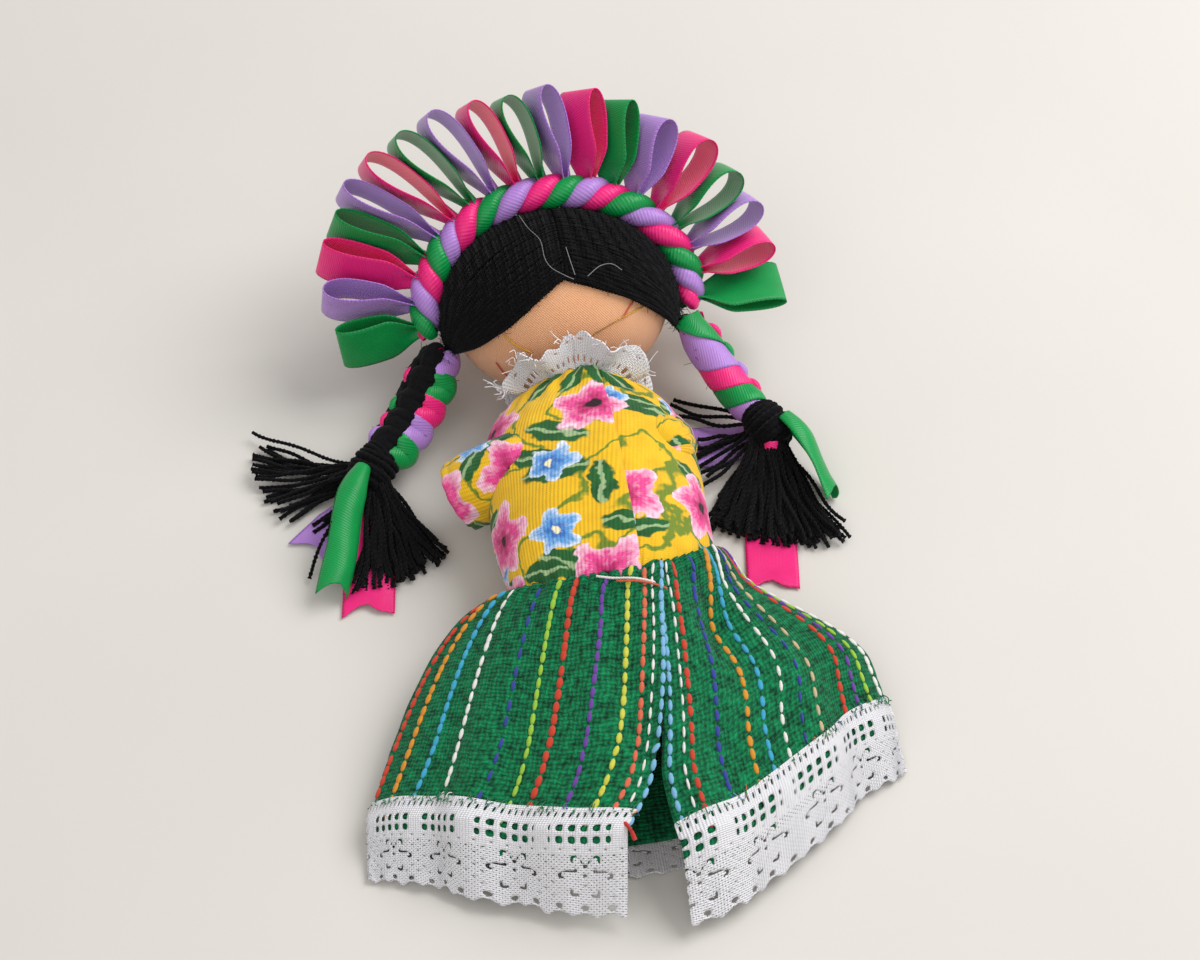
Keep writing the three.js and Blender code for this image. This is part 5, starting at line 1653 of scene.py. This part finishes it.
for line_around, colour, bulk, loose in stripes_at:
    pitch = FLOAT_PITCH * loose / skirt_drop
    steps = (np.arange(0.5, 1.0 / pitch - 0.3) + 0.3 * draw.random()) * pitch
    steps = steps + 0.08 * pitch * draw.normal(size=len(steps))
    place = skirt_place(line_around, steps)
    ahead = skirt_place(line_around, steps + NEAR) - place
    up = unit(np.cross(skirt_place(line_around + BESIDE, steps) - place, ahead))
    floats["place"].append(place + up * FLOAT_STAND)
    floats["along"].append(unit(ahead))
    floats["up"].append(up)
    floats["tint"].append(np.broadcast_to(dye(STRIPE_DYES[colour]), (len(steps), 4)))
    floats["bulk"].append(bulk * (0.9 + 0.2 * draw.random(len(steps))))
stripe_mesh = bpy.data.meshes.new("skirt_stripes")
stripe_mesh.from_pydata(np.concatenate(floats["place"]).tolist(), [], [])
for name, kind, field in (
    ("along", "FLOAT_VECTOR", "vector"), ("up", "FLOAT_VECTOR", "vector"), ("tint", "FLOAT_COLOR", "color"),
    ("bulk", "FLOAT", "value"),
):
    values = np.concatenate(floats[name]).astype(np.float32).ravel()
    stripe_mesh.attributes.new(name, kind, "POINT").data.foreach_set(field, values)
stripes = made_by_nodes(
    in_scene("skirt_stripes", stripe_mesh), stitch_nodes,
    float_length=2.65 * MM, float_width=1.1 * MM, float_height=0.8 * MM, finish=stripe_yarn,
)
settle(stripes, "torso", stripe_yarn, "woven_skirt")

# Tacking: a white and a coral thread that hold the skirt's waist at the back.
# They lie over the gathers in one long stitch.
WAIST_SPOTS = [(-4.7, -23.1), (-1, -24.2), (3, -25.2), (6, -26), (8.9, -26.5)]
WAIST_PITCH = 1.4 * MM
waist_line = []
for x, y in WAIST_SPOTS:
    away = np.hypot(hung[..., 0] - x * MM, hung[..., 1] - y * MM)
    nearest = int(np.argmin(np.where(hung[..., 2] < BODY_Z, np.inf, away)))
    waist_line.append(hung.reshape(-1, 3)[nearest] + [0, 0, 1.0 * MM])
white_thread = thread_finish("white_thread", "#efeae4")
white_line = smooth_path(waist_line, 40)
coral_line = smooth_path(np.array(waist_line[1:]) + [0.6 * MM, -0.9 * MM, 0.1 * MM], 30)
sew("waist_stitch", [white_line], 0.28 * MM, white_thread, WAIST_PITCH, "torso", "woven_skirt")
sew("coral_stitch", [coral_line], 0.24 * MM, coral_thread, WAIST_PITCH, "torso", "woven_skirt")

# Hem lace: machine-made white lace, sewn over the skirt's edge by its ladder band and lying out past it on
# the table. Rows of square eyelets and a row of open flowers end in a scalloped edge.
LACE_REPEAT = 31
LACE_THICK = 0.4 * MM
SCALLOP_CELLS = 10.3
FLOWER_ROW = 14 * MM
FLOWER_REACH = 4.6 * MM


def lace_solid(along, across):
    """Where the lace has thread: a ladder, two rows of eyelets in groups, flowers on a net, and scallops."""
    column, row = (along / LACE_CELL).astype(int), (across / LACE_CELL).astype(int)
    ladder = (row >= 2) & (row < 6) & (column % 3 == 0)
    grouped = column % LACE_REPEAT > 5
    eyelets = (((row >= 9) & (row < 13)) | ((row >= 15) & (row < 19))) & (column % 5 < 3) & grouped
    aside = (column % LACE_REPEAT - LACE_REPEAT / 2) * LACE_CELL
    rise = across - FLOWER_ROW
    away = np.hypot(aside, rise)
    reach = (2.6 + 1.4 * np.cos(6 * np.arctan2(rise, aside))) * MM
    eye = away < 0.5 * MM
    gap = (away > reach) & (away < reach + 0.75 * MM) & (away < FLOWER_REACH)
    net = ((column + row) % 6 > 3) & ((column - row) % 6 > 3)
    ground = (across > 9 * MM) & (across < 18.6 * MM) & ((net & (away > 4.9 * MM)) | gap)
    edge = LACE_WIDTH - 1.1 * MM * np.abs(np.sin(np.pi * column / SCALLOP_CELLS))
    drop_x = (column % SCALLOP_CELLS - SCALLOP_CELLS / 2) * LACE_CELL
    drops = np.hypot(drop_x, across - 19.9 * MM) < 0.7 * MM
    return (across < edge) & ~(ladder | eyelets | ground | eye | drops)


lace_flat, lace_faces = lace_cut(hem_length, LACE_WIDTH, LACE_CELL, lace_solid)
lace_around = np.clip(lace_flat[:, 0] / hem_length, 0, 1)
below = lace_flat[:, 1] - LACE_LAP
travel = np.where(below < 0, below, below * LACE_DROP / (LACE_WIDTH - LACE_LAP))
lace_points = hem_place(lace_around, travel, LACE_STAND)
hem_lace = lace_piece("hem_lace_trim", lace_flat, lace_faces, lace_points, LACE_THICK)
settle(hem_lace, "torso", white_lace, "white_lace", "hem_lace")

# Fray: cut ends of the skirt's own threads that stick out over the top of the lace and at the slit.
# Most are green, and a few come from the coloured stripes.
FRAY_ENDS = 320
FRAY_POINTS = 7
FRAY_RADIUS = 0.12 * MM
LONG_END = [(0, 0, 0.6), (1, -2, 1.2), (1.6, -4.2, 0.4)]
LONG_END_RADIUS = 0.45 * MM
fray_lines = []
fray_tints = []
for _ in range(FRAY_ENDS):
    spot = np.array([draw.random()])
    rise = np.array([-(4.5 + 1.3 * draw.random()) * MM])
    start = hem_place(spot, rise, LACE_STAND * 0.6)[0]
    aside = spot + 0.003 * draw.normal()
    rise = np.array([-(2.9 + 1.4 * draw.random()) * MM])
    tip = hem_place(aside, rise, LACE_STAND + 0.5 * MM)[0]
    middle = (start + tip) / 2 + draw.normal(size=3) * 0.3 * MM
    fray_lines.append(short_end(start, middle, tip, FRAY_POINTS))
    colour = draw.choice(list(STRIPE_DYES.values())) if draw.random() < 0.12 else "#0f7d4c"
    fray_tints.append(dye(colour))
corner = skirt_place(np.array([0.004]), np.array([0.985]))[0]
fray_lines.append(smooth_path(corner + np.array(LONG_END) * MM, FRAY_POINTS))
fray_tints.append(dye("#c8281e"))
radii = [np.full(FRAY_POINTS, FRAY_RADIUS)] * FRAY_ENDS + [np.full(FRAY_POINTS, LONG_END_RADIUS)]
skirt_fray = yarn("skirt_fray", fray_lines, radii, stripe_yarn, plies=2, depth=0.1, sides=5, tints=fray_tints)
settle(skirt_fray, "torso", stripe_yarn, "woven_skirt")

# Table, light and camera: a pale table top that the doll lies on, which isn't part of it.
# Soft light comes from the upper right, and the camera looks from above the doll's feet.
TABLE_HALF = 3.0
paint = Paint("pale_table")
table_finish = paint.shade(
    Base_Color=paint.mix(paint.noise(9.0), dye("#cfcbc5"), dye("#d8d5d0")),
    Roughness=0.9,
    Specular_IOR_Level=0.1,
)
table_points = np.array([[(x, y, 0.0) for x in (-TABLE_HALF, TABLE_HALF)] for y in (-TABLE_HALF, TABLE_HALF)])
table = surface("table", table_points, cloth_map(np.array([0, 1.0]), np.array([0, 1.0])))
table.data.materials.append(table_finish)

world = bpy.data.worlds.new("room")
world.use_nodes = True
world.node_tree.nodes["Background"].inputs["Color"].default_value = (1.0, 0.985, 0.965, 1.0)
world.node_tree.nodes["Background"].inputs["Strength"].default_value = 0.55
bpy.context.scene.world = world


def lamp(name, place, size, power):
    """A square lamp that shines at the middle of the table."""
    light = bpy.data.lights.new(name, "AREA")
    light.size = size
    light.energy = power
    made = in_scene(name, light)
    made.location = place
    made.rotation_euler = (-Vector(place)).to_track_quat("-Z", "Y").to_euler()


lamp("window", (0.55, 0.2, 0.74), 0.7, 7.6)
lamp("fill", (-0.3, -0.7, 0.8), 0.9, 2.6)

CAMERA_TILT = math.radians(52)
CAMERA_TURN = math.radians(-9)
CAMERA_AIM = np.array([0, 0, 31.6]) * MM
CAMERA_DISTANCE = 547.4 * MM
LENS = 78
SENSOR_WIDTH = 36
back = np.array([
    math.sin(CAMERA_TURN) * math.cos(CAMERA_TILT),
    -math.cos(CAMERA_TURN) * math.cos(CAMERA_TILT),
    math.sin(CAMERA_TILT),
])
camera_data = bpy.data.cameras.new("camera")
camera_data.lens = LENS
camera_data.sensor_width = SENSOR_WIDTH
camera_data.clip_start = 0.01
camera = in_scene("camera", camera_data)
camera.location = CAMERA_AIM + back * CAMERA_DISTANCE
camera.rotation_euler = (math.pi / 2 - CAMERA_TILT, 0, CAMERA_TURN)
bpy.context.scene.camera = camera
bpy.context.scene.view_settings.view_transform = "Standard"
